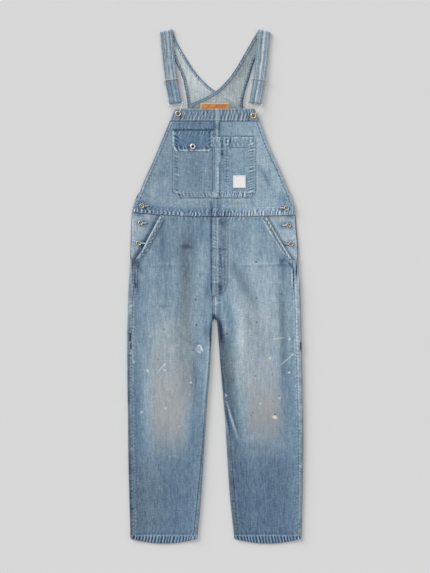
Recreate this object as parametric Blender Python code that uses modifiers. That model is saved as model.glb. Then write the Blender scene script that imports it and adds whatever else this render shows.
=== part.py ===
# Denim dungarees lying flat on their back. Each cut piece is a thin wall of cloth of its own,
# stacked on the one below as the garment lies, with turned buttons and bent wire hardware.
#
# Tables and functions are in millimetres, the scene in metres. +Y runs up to the shoulders, +X
# to the right as one looks down on the front, +Z up from the surface that carries the garment.

import math
from collections import namedtuple

import bpy

MM = 0.001
CLOTH = 1.0  # wall of one layer of denim
GAP = 0.35  # clearance between pieces that touch
LAYER = CLOTH + GAP  # rise from one layer to the next
SEAM = 0.28  # each panel stops this short of a side seam or an inseam

WAIST_Y = 208.0  # waist seam at the centre front
WAIST_BOW = {-1: 13.5, 1: 6.0}  # how much higher the waist seam lies at each side
HALF_WAIST = 250.0
HEM_SAG = 15.0  # how much lower a hem lies at the middle of the leg
HEM_FADE = 137.0  # reach of the hem's curve up the leg
EDGE_PUFF = 45.0  # width over which the stiff side edges settle to the middle of a leg

HIP_BAND_WIDTH = 15.0
FACING_UNDERLAP = 22.0  # facing that runs on beneath the slant opening
FACING_DROP = LAYER + 0.2
WAISTBAND_WIDTH = 26.0
TOP_BAND_WIDTH = 36.5
YOKE_HEM_WIDTH = 7.5
YOKE_HEM_STOP = 6.0  # the hems run out this far below the shoulder
STRAP_WIDTH = 37.0
STRAP_THICKNESS = 2.2
WIRE = 2.3

# One station of a leg, measured outward from the centre line: the two side extremes, how far
# round the fold each seam lies, the fold's radius, the height of the middle, and how far the
# inner edge is closed (0 across the trunk, 1 on a separate leg).
LegRow = namedtuple("LegRow", "y outer inner outer_seam inner_seam edge middle fork")
LEGS = {
    -1: [
        LegRow(-757, 254.0, 54.0, 15.5, 14.0, 3.0, 3.4, 1),
        LegRow(-690, 256.0, 47.0, 16.0, 12.5, 3.2, 3.4, 1),
        LegRow(-620, 258.0, 41.5, 16.5, 11.0, 3.4, 3.6, 1),
        LegRow(-550, 260.0, 37.0, 17.0, 8.0, 3.6, 3.8, 1),
        LegRow(-476, 261.0, 32.5, 17.0, 6.5, 3.7, 4.0, 1),
        LegRow(-400, 261.5, 27.5, 17.0, 6.0, 3.8, 4.2, 1),
        LegRow(-330, 263.0, 22.5, 17.0, 5.5, 3.9, 4.3, 1),
        LegRow(-272, 264.0, 17.5, 17.5, 5.0, 4.0, 4.4, 1),
        LegRow(-197, 264.4, 13.3, 17.5, 4.0, 4.0, 4.6, 1),
        LegRow(-140, 264.0, 10.8, 17.5, 3.0, 4.0, 4.6, 1),
        LegRow(-98, 263.0, 8.5, 17.5, 1.5, 4.0, 4.6, 1),
        LegRow(-62, 262.0, 2.6, 17.5, 0.0, 4.0, 4.6, 0.5),
        LegRow(-32, 261.0, 2.4, 17.5, 0.0, 4.0, 4.6, 0),
        LegRow(0, 259.5, 2.4, 17.5, 0.0, 4.0, 4.6, 0),
        LegRow(40, 257.5, 2.4, 17.5, 0.0, 4.0, 4.6, 0),
        LegRow(76, 255.3, 2.4, 17.5, 0.0, 4.0, 4.6, 0),
        LegRow(79, 255.2, 2.4, 12.0, 0.0, 4.0, 4.6, 0),
        LegRow(82, 255.0, 2.4, 6.0, 0.0, 3.9, 4.6, 0),
        LegRow(86, 254.9, 2.4, 0.0, 0.0, 3.9, 4.6, 0),
        LegRow(108, 254.3, 2.3, 0.0, 0.0, 3.7, 4.6, 0),
        LegRow(135, 253.5, 2.0, 0.0, 0.0, 3.4, 4.6, 0),
        LegRow(165, 252.3, 1.5, 0.0, 0.0, 3.0, 4.6, 0),
        LegRow(190, 251.0, 1.0, 0.0, 0.0, 2.8, 4.6, 0),
        LegRow(208, 249.7, 0.6, 0.0, 0.0, 2.8, 4.6, 0),
    ],
    1: [
        LegRow(-757, 258.8, 57.0, 12.0, 15.5, 3.0, 3.4, 1),
        LegRow(-690, 260.5, 50.0, 13.5, 16.0, 3.2, 3.4, 1),
        LegRow(-620, 262.4, 43.0, 15.0, 16.5, 3.4, 3.6, 1),
        LegRow(-550, 263.6, 38.5, 16.0, 16.0, 3.6, 3.8, 1),
        LegRow(-476, 264.4, 34.0, 16.5, 14.5, 3.7, 4.0, 1),
        LegRow(-400, 264.2, 30.0, 17.0, 12.0, 3.8, 4.2, 1),
        LegRow(-330, 263.0, 23.5, 17.5, 9.0, 3.9, 4.3, 1),
        LegRow(-272, 261.8, 18.5, 18.5, 7.0, 4.0, 4.4, 1),
        LegRow(-197, 260.3, 12.7, 19.0, 5.0, 4.0, 4.6, 1),
        LegRow(-140, 258.8, 8.6, 19.0, 3.0, 4.0, 4.6, 1),
        LegRow(-98, 258.0, 5.5, 19.0, 1.5, 4.0, 4.6, 1),
        LegRow(-62, 257.0, -1.6, 19.0, 0.0, 4.0, 4.6, 0.5),
        LegRow(-32, 256.0, -2.0, 19.0, 0.0, 4.0, 4.6, 0),
        LegRow(0, 254.6, -2.0, 19.0, 0.0, 4.0, 4.6, 0),
        LegRow(40, 251.0, -2.0, 19.0, 0.0, 4.0, 4.6, 0),
        LegRow(76, 249.6, -2.0, 19.0, 0.0, 4.0, 4.6, 0),
        LegRow(79, 249.6, -2.0, 12.0, 0.0, 4.0, 4.6, 0),
        LegRow(82, 249.6, -2.0, 6.0, 0.0, 3.9, 4.6, 0),
        LegRow(86, 249.5, -2.0, 0.0, 0.0, 3.9, 4.6, 0),
        LegRow(108, 249.3, -1.9, 0.0, 0.0, 3.7, 4.6, 0),
        LegRow(135, 247.5, -1.6, 0.0, 0.0, 3.4, 4.6, 0),
        LegRow(165, 244.5, -1.1, 0.0, 0.0, 3.0, 4.6, 0),
        LegRow(190, 242.6, -0.6, 0.0, 0.0, 2.8, 4.6, 0),
        LegRow(208, 241.4, -0.2, 0.0, 0.0, 2.8, 4.6, 0),
    ],
}

# The slant pocket openings, measured outward from the centre line.
PocketRow = namedtuple("PocketRow", "y left right")
POCKET_LINE = [
    PocketRow(79, 239.5, 232.0),
    PocketRow(108, 219.0, 214.0),
    PocketRow(135, 206.0, 197.5),
    PocketRow(165, 188.5, 179.0),
    PocketRow(190, 174.0, 164.0),
    PocketRow(208, 163.0, 152.5),
]

# The largest soft folds across the fronts: centre, direction from +X, length, width, height.
Fold = namedtuple("Fold", "x y angle length width height")
FOLDS = [
    Fold(-88, 60, -88, 330, 26, -0.9),
    Fold(-50, -20, -89, 300, 24, 1.6),
    Fold(75, -40, -78, 290, 26, -0.9),
    Fold(74, -130, -86, 300, 30, 2.2),
    Fold(55, -405, -75, 170, 18, 1.8),
    Fold(-62, -215, -62, 130, 20, 1.4),
    Fold(195, -70, -86, 240, 26, -0.8),
    Fold(-165, -560, -85, 260, 34, 1.5),
    Fold(150, -590, -95, 260, 34, 1.5),
]

# Edges of the bib and of the back behind it, and the bib's centre seam.
BibRow = namedtuple("BibRow", "y left centre right")
BIB = [
    BibRow(208.0, -249.5, 0.0, 241.2),
    BibRow(223.0, -246.5, 0.2, 239.6),
    BibRow(247.0, -240.5, 0.6, 233.6),
    BibRow(271.0, -230.0, 1.2, 226.0),
    BibRow(307.0, -217.0, 2.4, 211.0),
    BibRow(331.0, -206.5, 3.0, 201.0),
    BibRow(355.0, -195.5, 3.6, 190.7),
    BibRow(379.0, -184.5, 4.2, 178.5),
    BibRow(403.0, -174.5, 4.6, 167.6),
    BibRow(427.0, -164.5, 5.0, 157.6),
    BibRow(451.0, -154.5, 5.2, 148.0),
    BibRow(475.0, -144.5, 5.4, 139.5),
    BibRow(499.0, -134.5, 5.5, 131.6),
    BibRow(516.0, -127.5, 5.5, 124.5),
    BibRow(532.8, -120.5, 5.5, 118.0),
]
BackRow = namedtuple("BackRow", "y left right")
BACK = [
    BackRow(208.4, -247.5, 239.0),
    BackRow(240.0, -243.0, 231.5),
    BackRow(256.0, -240.0, 228.5),
    BackRow(272.0, -234.5, 221.5),
    BackRow(306.0, -201.5, 195.0),
    BackRow(342.0, -169.0, 166.0),
    BackRow(379.0, -141.0, 140.0),
    BackRow(424.0, -115.0, 116.0),
    BackRow(469.0, -96.5, 98.0),
    BackRow(522.8, -84.0, 85.0),
]

# The crossed back pieces, each row from its armhole edge to its neck edge.
YokeRow = namedtuple("YokeRow", "outer_x outer_y inner_x inner_y")
YOKES = {
    -1: [
        YokeRow(-83.0, 523.2, 83.5, 523.2),
        YokeRow(-83.2, 535.0, 83.0, 535.0),
        YokeRow(-83.8, 547.0, 76.0, 553.0),
        YokeRow(-85.0, 558.0, 38.0, 570.0),
        YokeRow(-87.5, 574.0, -3.5, 589.0),
        YokeRow(-91.0, 592.0, -21.5, 602.5),
        YokeRow(-95.8, 617.0, -46.0, 627.5),
        YokeRow(-101.5, 645.0, -60.0, 644.5),
        YokeRow(-109.5, 671.0, -71.0, 660.0),
        YokeRow(-126.5, 703.0, -95.5, 699.0),
        YokeRow(-146.0, 739.0, -114.0, 732.0),
        YokeRow(-163.5, 761.1, -124.5, 764.5),
    ],
    1: [
        YokeRow(84.5, 523.2, -84.0, 523.2),
        YokeRow(84.0, 535.0, -82.0, 535.0),
        YokeRow(83.0, 545.0, -72.0, 548.0),
        YokeRow(84.0, 556.0, -34.0, 565.0),
        YokeRow(87.0, 571.0, -1.5, 582.5),
        YokeRow(91.0, 588.0, 16.0, 597.0),
        YokeRow(97.0, 606.0, 30.0, 612.0),
        YokeRow(103.0, 625.0, 43.5, 627.0),
        YokeRow(110.5, 652.0, 56.0, 645.5),
        YokeRow(119.5, 679.5, 68.5, 664.5),
        YokeRow(135.0, 707.0, 90.0, 702.0),
        YokeRow(149.0, 731.5, 108.0, 734.0),
        YokeRow(165.0, 761.0, 126.0, 764.4),
    ],
}
CROSSING_POINT = (-3.5, 589.0)  # a point on the lower yoke's neck edge
CROSSING_NORMAL = (0.413, 0.911)  # the way that edge faces
CROSSING_RAMP = 80.0

# The straps' centre line across the front, measured outward, and their height along it.
STRAP_LINE = [(548.0, 119.0), (611.0, 130.5), (680.0, 139.3), (772.0, 147.3)]
STRAP_UPPER = [(769, 4.9), (740, 4.4), (700, 4.3), (660, 5.0), (632, 6.2), (611, 6.8), (590, 6.7), (570, 7.2)]
STRAP_LOWER = [(556, 2.55), (580, 1.8), (602, 1.5), (624, 1.45)]
STRAP_FOLD_Y = 767.2
STRAP_LOOP_Y = 552.0
STRAP_LOOP_Z = 5.2

BIB_BUTTONS = {-1: (-111.0, 517.5), 1: (114.5, 511.0)}
SIDE_BUTTONS = {-1: [(-220, 241), (-224, 190), (-230, 129)], 1: [(214, 235), (220.5, 183), (228, 127)]}
FLAP_BUTTON = (-67.0, 419.0)

SIDE_NAME = {-1: "left", 1: "right"}

DENIM = ((0.34, 0.45, 0.55), 0.88, 0.0)
DENIM_FADED = ((0.42, 0.52, 0.60), 0.88, 0.0)
DENIM_DARK = ((0.13, 0.22, 0.34), 0.88, 0.0)
DENIM_INSIDE = ((0.52, 0.57, 0.59), 0.9, 0.0)
LEATHER = ((0.58, 0.30, 0.11), 0.6, 0.0)
LABEL = ((0.82, 0.80, 0.76), 0.8, 0.0)
STEEL = ((0.72, 0.71, 0.68), 0.3, 1.0)
BRASS = ((0.48, 0.36, 0.20), 0.35, 1.0)
COPPER = ((0.42, 0.30, 0.22), 0.38, 1.0)


def ramp(value, low, high):
    """0 below low, 1 above high, with a soft rise between."""
    t = min(max((value - low) / (high - low), 0.0), 1.0)
    return t * t * (3 - 2 * t)


def between(table, key, y):
    """The value of a table's column at y, straight between its rows."""
    rows = sorted((row.y, getattr(row, key)) for row in table)
    for (low, first), (high, second) in zip(rows, rows[1:]):
        if y <= high:
            break
    t = min(max((y - low) / (high - low), 0.0), 1.0)
    return first + (second - first) * t


def leg_row(side, y):
    return LegRow(*(between(LEGS[side], key, y) for key in LegRow._fields))


def pocket_line(side, y):
    return between(POCKET_LINE, SIDE_NAME[side], y)


def waist_y(x):
    """Height of the waist seam, which rises to both sides."""
    return WAIST_Y + WAIST_BOW[-1 if x < 0 else 1] * (x / HALF_WAIST) ** 2


def arc_drop(distance, radius):
    """How far a fold's round edge lies below its crown, at a distance in from the edge."""
    inside = max(radius - distance, 0.0)
    return radius - math.sqrt(max(radius**2 - inside**2, 0.0))


def fold_height(x, y):
    """Sum of the soft folds: a bell across each, tapering to nothing at its ends."""
    total = 0.0
    for fold in FOLDS:
        turn = math.radians(fold.angle)
        along = (x - fold.x) * math.cos(turn) + (y - fold.y) * math.sin(turn)
        across = (y - fold.y) * math.cos(turn) - (x - fold.x) * math.sin(turn)
        reach = 2 * along / fold.length
        if abs(reach) < 1:
            total += fold.height * (1 - reach**2) ** 2 * math.exp(-((across / fold.width) ** 2))
    return total


def leg_top(side, out, y):
    """Height of a front's upper face; out is measured outward from the centre line."""
    row = leg_row(side, y)
    from_outer = row.outer - out
    from_inner = out - row.inner
    puff = 2 * row.edge - row.middle
    z = row.middle + puff * (1 - ramp(from_outer, row.edge, row.edge + EDGE_PUFF))
    z += puff * row.fork * (1 - ramp(from_inner, row.edge, row.edge + EDGE_PUFF))
    z -= arc_drop(from_outer, row.edge) + row.fork * arc_drop(from_inner, row.edge)
    return z + fold_height(side * out, y)


def leg_under(side, out, y):
    """Height of a back's lower face, flat but for the round edges."""
    row = leg_row(side, y)
    return arc_drop(row.outer - out, row.edge) + row.fork * arc_drop(out - row.inner, row.edge)


def trunk_top(x, y):
    """Height of the fronts' upper face at a place across both."""
    side = -1 if x < -between(LEGS[-1], "inner", y) else 1
    return leg_top(side, side * x, y)


def bib_top(x, y):
    """Height of the bib's upper face: lifted over the patch and yokes, soft along its edges."""
    edge = min(x - between(BIB, "left", y), between(BIB, "right", y) - x)
    lift = 2.4 * ramp(y, 400, 510) * (1 - 0.5 * ramp(abs(x), 70, 125))
    return 4.6 + lift - 1.3 * (1 - ramp(edge, 0, 32))


def right_yoke_lift(x, y):
    """Rise of the upper yoke over the lower one and its hem."""
    beyond = (x - CROSSING_POINT[0]) * CROSSING_NORMAL[0] + (y - CROSSING_POINT[1]) * CROSSING_NORMAL[1]
    return 2 * LAYER * (1 - ramp(beyond, 0, CROSSING_RAMP))


def lengths(path):
    """Distance along a path of points at each of them."""
    total = [0.0]
    for first, second in zip(path, path[1:]):
        total.append(total[-1] + math.dist(first, second))
    return total


def point_at(path, marks, distance):
    for index in range(1, len(path)):
        if distance <= marks[index] or index == len(path) - 1:
            break
    t = (distance - marks[index - 1]) / max(marks[index] - marks[index - 1], 1e-9)
    return tuple(a + (b - a) * t for a, b in zip(path[index - 1], path[index]))


def cut(path, start, stop):
    """The stretch of a path between two distances along it."""
    marks = lengths(path)
    inside = [p for p, mark in zip(path, marks) if start < mark < stop]
    return [point_at(path, marks, start), *inside, point_at(path, marks, stop)]


def respace(path, start_marks, middle, stop_marks):
    """Points of a path at set distances from its two ends, with even ones between."""
    marks = lengths(path)
    low = start_marks[-1]
    high = marks[-1] - stop_marks[-1]
    even = [low + (high - low) * (i + 1) / (middle + 1) for i in range(middle)]
    ends = [marks[-1] - mark for mark in reversed(stop_marks)]
    return [point_at(path, marks, distance) for distance in [*start_marks, *even, *ends]]


def across_leg(side, y, height):
    """Dense path (outward, height) over a leg from its outer extreme to its inner one."""
    row = leg_row(side, y)
    arc = [row.edge * (1 - math.cos(math.radians(step * 10))) for step in range(10)]
    span = row.outer - row.inner - 2 * row.edge
    steps = 36
    middle = [row.edge + span * (step + 1) / (steps + 1) for step in range(steps)]
    far = [row.outer - row.inner - distance for distance in reversed(arc)]
    return [(row.outer - d, height(side, row.outer - d, y)) for d in [*arc, *middle, *far]]


def bowed(out, y, side):
    """Lengthwise place of a point of a leg row, with the curve of the hem and of the waist."""
    hem = LEGS[side][0]
    position = 2 * (out - hem.inner) / (hem.outer - hem.inner) - 1
    fade = max(1 - (y - hem.y) / HEM_FADE, 0.0) ** 2
    sag = HEM_SAG * fade * max(1 - position**2, 0.0)
    rise = (waist_y(side * out) - WAIST_Y) * ramp(y, 135, WAIST_Y)
    return y - sag + rise


def material(name, look):
    colour, roughness, metallic = look
    found = bpy.data.materials.get(name)
    if found:
        return found
    made = bpy.data.materials.new(name)
    made.use_nodes = True
    shader = made.node_tree.nodes["Principled BSDF"]
    shader.inputs["Base Color"].default_value = (*colour, 1.0)
    shader.inputs["Roughness"].default_value = roughness
    shader.inputs["Metallic"].default_value = metallic
    made.diffuse_color = (*colour, 1.0)
    return made


def add(name, data, look):
    """An object in the garment's collection, with a material of its own."""
    part = bpy.data.objects.new(name, data)
    garment.objects.link(part)
    data.materials.append(material(name, look))
    return part


def wall(name, grid, look, grow=1, thickness=CLOTH, centred=False):
    """A wall of cloth on a grid of points, grown upward (1) or downward (-1) from it."""
    if grid[0][0][0] > grid[0][-1][0]:
        grid = [list(reversed(row)) for row in grid]
    if grid[0][0][1] > grid[-1][0][1]:
        grid = list(reversed(grid))
    columns = len(grid[0])
    points = [tuple(value * MM for value in point) for row in grid for point in row]
    faces = []
    for i in range(len(grid) - 1):
        for j in range(columns - 1):
            first = i * columns + j
            faces.append((first, first + 1, first + columns + 1, first + columns))
    mesh = bpy.data.meshes.new(name)
    mesh.from_pydata(points, [], faces)
    mesh.shade_smooth()
    part = add(name, mesh, look)
    solidify = part.modifiers.new("Cloth", "SOLIDIFY")
    solidify.thickness = thickness * MM
    solidify.offset = 0 if centred else grow
    solidify.use_even_offset = True
    solidify.use_quality_normals = True
    return part


def laid(name, rows, columns, height, lift, look, thickness=CLOTH):
    """A piece laid on a surface: rows are (x, y) pairs for its two edges."""
    grid = []
    for (x0, y0), (x1, y1) in rows:
        line = []
        for column in range(columns):
            t = column / (columns - 1)
            x = x0 + (x1 - x0) * t
            y = y0 + (y1 - y0) * t
            line.append((x, y, height(x, y) + lift))
        grid.append(line)
    return wall(name, grid, look, thickness=thickness)


def level_rows(left, right, ys):
    """Rows straight across between two edges, each a number or a function of y."""
    def at(edge, y):
        return edge(y) if callable(edge) else edge

    return [((at(left, y), y), (at(right, y), y)) for y in ys]


def edge_rows(points, width, side):
    """Rows of a strip along an edge: each point and the one beside it, side 1 to its left."""
    rows = []
    for index, (x, y) in enumerate(points):
        before = points[max(index - 1, 0)]
        after = points[min(index + 1, len(points) - 1)]
        dx = after[0] - before[0]
        dy = after[1] - before[1]
        reach = side * width / math.hypot(dx, dy)
        rows.append(((x, y), (x - dy * reach, y + dx * reach)))
    return rows


def steps(low, high, most):
    """Even values from low to high, no further apart than most."""
    count = math.ceil((high - low) / most)
    return [low + (high - low) * index / count for index in range(count + 1)]


def turned(name, profile, place, look, segments=16):
    """A turned piece: the profile is (radius, height) from the top down, on the Z axis."""
    mesh = bpy.data.meshes.new(name)
    points = [(radius * MM, 0.0, height * MM) for radius, height in profile]
    mesh.from_pydata(points, [(i, i + 1) for i in range(len(points) - 1)], [])
    part = add(name, mesh, look)
    part.location = tuple(value * MM for value in place)
    screw = part.modifiers.new("Turn", "SCREW")
    screw.steps = segments
    screw.render_steps = segments
    screw.use_merge_vertices = True
    screw.merge_threshold = 0.00001
    screw.use_smooth_shade = True
    return part


def wire(name, points, look, diameter=WIRE):
    """A closed ring of bent wire through the points."""
    curve = bpy.data.curves.new(name, "CURVE")
    curve.dimensions = "3D"
    curve.bevel_depth = diameter / 2 * MM
    curve.bevel_resolution = 2
    spline = curve.splines.new("POLY")
    spline.points.add(len(points) - 1)
    for target, point in zip(spline.points, points):
        target.co = (*(value * MM for value in point), 1.0)
    spline.use_cyclic_u = True
    return add(name, curve, look)


def make_legs(side):
    """The front and the back of one leg, which run from the waist seam to the hem."""
    front = []
    back = []
    for row in LEGS[side]:
        over = across_leg(side, row.y, leg_top)
        under = across_leg(side, row.y, leg_under)
        whole = lengths(over)[-1]
        start = row.outer_seam + SEAM
        if row.y >= POCKET_LINE[0].y:
            marks = lengths(over)
            opening = pocket_line(side, row.y)
            start = next(mark for (out, _), mark in zip(over, marks) if out <= opening)
            near = next(out for out, _ in over if out <= opening)
            start -= opening - near
        stop = whole - row.inner_seam - (SEAM if row.fork else 0.0)
        path = respace(cut(over, start, stop), (0, 10, 22, 38), 6, (0, 1, 4, 10, 20, 36))
        front.append([(side * out, bowed(out, row.y, side), z) for out, z in path])

        path = list(under)
        if row.outer_seam:
            path = cut(over, 0, row.outer_seam - SEAM)[:0:-1] + path
        if row.inner_seam:
            path = path + cut(over, whole - row.inner_seam + SEAM, whole)[-2::-1]
        path = respace(path, (0, 5, 9.5, 12.5, 15, 17.5, 21, 27), 1, (0, 1, 4, 7, 11, 15, 20, 28))
        back.append([(side * out, bowed(out, row.y, side), z) for out, z in path])
    front[-1] = [(x, y - 0.3, z) for x, y, z in front[-1]]
    back[-1] = [(x, y - 0.3, z) for x, y, z in back[-1]]
    wall("front_leg_" + SIDE_NAME[side], front, DENIM, grow=-1)
    wall("back_leg_" + SIDE_NAME[side], back, DENIM)


def make_hip_pocket(side):
    """The facing seen through the slant opening, and the stitched band along the opening."""
    grid = []
    for y in (62, 73, 84, 96, 108, 121, 135, 150, 165, 178, 190, 207.7):
        row = leg_row(side, y)
        opening = pocket_line(side, y)
        inner = opening - FACING_UNDERLAP
        start = row.outer - 2.4 - 6 * (1 - ramp(y, 76, 88))
        drop = FACING_DROP + 0.9 * (1 - ramp(y, 84, 108))
        line = []
        for column in range(8):
            out = start - (start - inner) * (column / 7) ** 1.5
            place = bowed(out, y, side)
            line.append((side * out, place, leg_top(side, out, y) - drop))
        grid.append(line)
    wall("hip_facing_" + SIDE_NAME[side], grid, DENIM_FADED, grow=-1)

    edge = [(side * (pocket_line(side, y) - 1), y) for y in (90, 99, 108, 121, 135, 150, 165, 178, 190, 203)]
    rows = edge_rows(edge, HIP_BAND_WIDTH, 1 if side > 0 else -1)
    rows = [((x0, y0 + rise(x0, y0)), (x1, y1 + rise(x1, y1))) for (x0, y0), (x1, y1) in rows]
    laid("hip_band_" + SIDE_NAME[side], rows, 3, trunk_top, GAP + 0.25, DENIM)


def rise(x, y):
    """How far the waist's bow lifts a point of the trunk."""
    return (waist_y(x) - WAIST_Y) * ramp(y, 135, WAIST_Y)


def make_fly():
    """The J-shaped fly, which laps over the centre seam from the right."""
    left, right = -10.5, 38.0
    turn_y, foot_y, foot = 25.0, -29.0, 8.0

    def outer(y):
        low = min((y - turn_y) / (turn_y - foot_y), 0.0)
        return foot + (right - foot) * math.sqrt(1 - low**2)

    ys = [-29, -27.5, -24, -18, -10, 0, 12, 25, *steps(46, 205, 24)]
    laid("fly_placket", level_rows(left, outer, ys), 6, trunk_top, GAP + 0.05, DENIM)


def make_bib():
    """The two halves of the bib, meeting at the centre seam."""
    for side in (-1, 1):
        grid = []
        for row in BIB:
            outer = row.left if side < 0 else row.right
            line = []
            for t in (0, 0.05, 0.11, 0.18, 0.27, 0.4, 0.55, 0.7, 0.85, 1):
                x = outer + (row.centre + side * 0.2 - outer) * t
                y = row.y + (waist_y(x) + 0.3 - WAIST_Y) * (1 - ramp(row.y, WAIST_Y, 300))
                line.append((x, y, bib_top(x, row.y)))
            grid.append(line)
        wall("bib_" + SIDE_NAME[side], grid, DENIM, grow=-1)


def strip_edges(y):
    centre = between(BIB, "centre", y)
    return centre - 7.0, centre + 7.0


def make_bib_bands():
    """The top hem, the centre strip that covers the seam, and the band along the waist."""
    def left(y):
        return between(BIB, "left", y) + 0.5

    def right(y):
        return between(BIB, "right", y) - 0.5

    top = BIB[-1].y
    ys = [top - TOP_BAND_WIDTH, top - 27, top - 18, top - 9, top - 0.3]
    laid("bib_top_band", level_rows(left, right, ys), 19, bib_top, GAP, DENIM)

    ys = steps(WAIST_Y + WAISTBAND_WIDTH + 1.5, top - TOP_BAND_WIDTH - 1.5, 22)
    rows = [((strip_edges(y)[0], y), (strip_edges(y)[1], y)) for y in ys]
    laid("bib_centre_strip", rows, 3, bib_top, GAP, DENIM_FADED)

    rows = []
    for x in steps(-243.0, 235.0, 14):
        bottom = waist_y(x) + 1
        rows.append(((x, bottom), (x, bottom + WAISTBAND_WIDTH)))
    grid = []
    for column in range(4):
        line = []
        for (x, low), (_, high) in rows:
            y = low + (high - low) * column / 3
            line.append((x, y, bib_top(x, max(y - waist_y(x) + WAIST_Y, WAIST_Y)) + GAP))
        grid.append(line)
    wall("waistband", grid, DENIM)


def make_chest_pockets():
    """Two patch pockets, the flap and its band on the left one, the tab and the label."""
    def over_strip(x, y):
        low, high = strip_edges(y)
        return LAYER * (ramp(x, low - 9, low - 1) - ramp(x, high + 1, high + 9))

    def left_pocket(y):
        return -125.0 + 15 * max(1 - (y - 265) / 18, 0.0)

    ys = [265, 274, 283, *steps(304, 438, 20)]
    laid("chest_pocket_left", level_rows(left_pocket, -9.5, ys), 9, bib_top, GAP, DENIM)

    def right_pocket(y):
        return 121.5 - 16 * max(1 - (y - 265) / 18, 0.0)

    grid = []
    for y in [265, 274, 283, *steps(304, 447, 18)]:
        xs = [-5.2, 0, 5, 10, 14, 18, 23, 34, 50, 66, 82, 98]
        xs.append(right_pocket(y) if y < 283 else 121.5)
        grid.append([(x, y, bib_top(x, y) + GAP + over_strip(x, y)) for x in xs])
    wall("chest_pocket_right", grid, DENIM)

    laid("flap_band", level_rows(-126.5, -5.0, [468, 477, 486, 494.5]), 9, bib_top, GAP, DENIM_DARK)

    def flap_left(y):
        return -128.0 + 12 * max(1 - (y - 405) / 12, 0.0) ** 1.4

    def flap_right(y):
        return -7.0 - 12 * max(1 - (y - 405) / 12, 0.0) ** 1.4

    ys = [405, 408, 411, 417, *steps(430, 466.5, 18)]
    laid("chest_pocket_flap", level_rows(flap_left, flap_right, ys), 9, bib_top, LAYER + GAP, DENIM_DARK)

    tab_rows = level_rows(-10.0, 12.0, [265.5, 274, 283])
    laid("centre_tab", tab_rows, 4, bib_top, 2 * LAYER + GAP, DENIM_FADED)
    laid("pocket_label", level_rows(54.5, 92.0, [294.5, 307, 319.5, 332]), 4, bib_top, LAYER + GAP, LABEL)


def make_back():
    """The upper back, the crossed yokes with their turned hems, and the leather patch."""
    grid = []
    for index, row in enumerate(BACK):
        line = []
        for column in range(9):
            x = row.left + (row.right - row.left) * column / 8
            y = waist_y(x) + 0.3 if index == 0 else row.y
            line.append((x, y, 0.0))
        grid.append(line)
    wall("back_panel", grid, DENIM_INSIDE)

    lifts = {-1: lambda x, y: 0.0, 1: right_yoke_lift}
    for side in (-1, 1):
        table = YOKES[side]
        name = SIDE_NAME[side]
        rows = [((row.outer_x, row.outer_y), (row.inner_x, row.inner_y)) for row in table]
        laid("back_yoke_" + name, rows, 7, lifts[side], 0.0, DENIM_INSIDE)
        armhole = [(row.outer_x - side, row.outer_y) for row in table[1:]]
        neck = [(row.inner_x + side, row.inner_y) for row in table[1:]]
        armhole[-1] = (armhole[-1][0], armhole[-1][1] - YOKE_HEM_STOP)
        neck[-1] = (neck[-1][0], neck[-1][1] - YOKE_HEM_STOP)
        armhole_rows = edge_rows(armhole, YOKE_HEM_WIDTH, side)
        neck_rows = edge_rows(neck, YOKE_HEM_WIDTH, -side)
        laid("yoke_hem_armhole_" + name, armhole_rows, 2, lifts[side], LAYER, DENIM)
        laid("yoke_hem_neck_" + name, neck_rows, 2, lifts[side], LAYER, DENIM)

    patch_rows = level_rows(-43.5, 42.5, [490, 520, 549.5])
    laid("back_patch", patch_rows, 2, lambda x, y: 3 * LAYER, 0.0, LEATHER, thickness=1.2)


def strap_centre(y):
    """Distance of the strap's centre line from the garment's, on a curve through its points."""
    for index in range(1, len(STRAP_LINE)):
        if y <= STRAP_LINE[index][0]:
            break
    (low, first), (high, second) = STRAP_LINE[index - 1 : index + 1]
    t = (y - low) / (high - low)
    return first + (second - first) * t


def strap_frame(side, y):
    """Centre of the strap at y, and the unit direction across it."""
    slope = (strap_centre(y + 8) - strap_centre(y - 8)) / 16 * side
    size = math.hypot(1, slope)
    return side * strap_centre(y), (1 / size, -slope / size)


def strap_path():
    """Side profile (y, height) of a strap: under, round the shoulder fold, down, and back up."""
    radius = 1.9
    path = [(763.0, STRAP_THICKNESS / 2)]
    for step in range(7):
        angle = math.radians(-90 + 30 * step)
        path.append((STRAP_FOLD_Y + radius * math.cos(angle), 3.0 + radius * math.sin(angle)))
    path += STRAP_UPPER[1:]
    loop = WIRE / 2 + GAP + STRAP_THICKNESS / 2
    for step in range(7):
        angle = math.radians(90 + 30 * step)
        path.append((STRAP_LOOP_Y + loop * math.cos(angle), STRAP_LOOP_Z + loop * math.sin(angle)))
    return path + STRAP_LOWER[1:]


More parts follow.
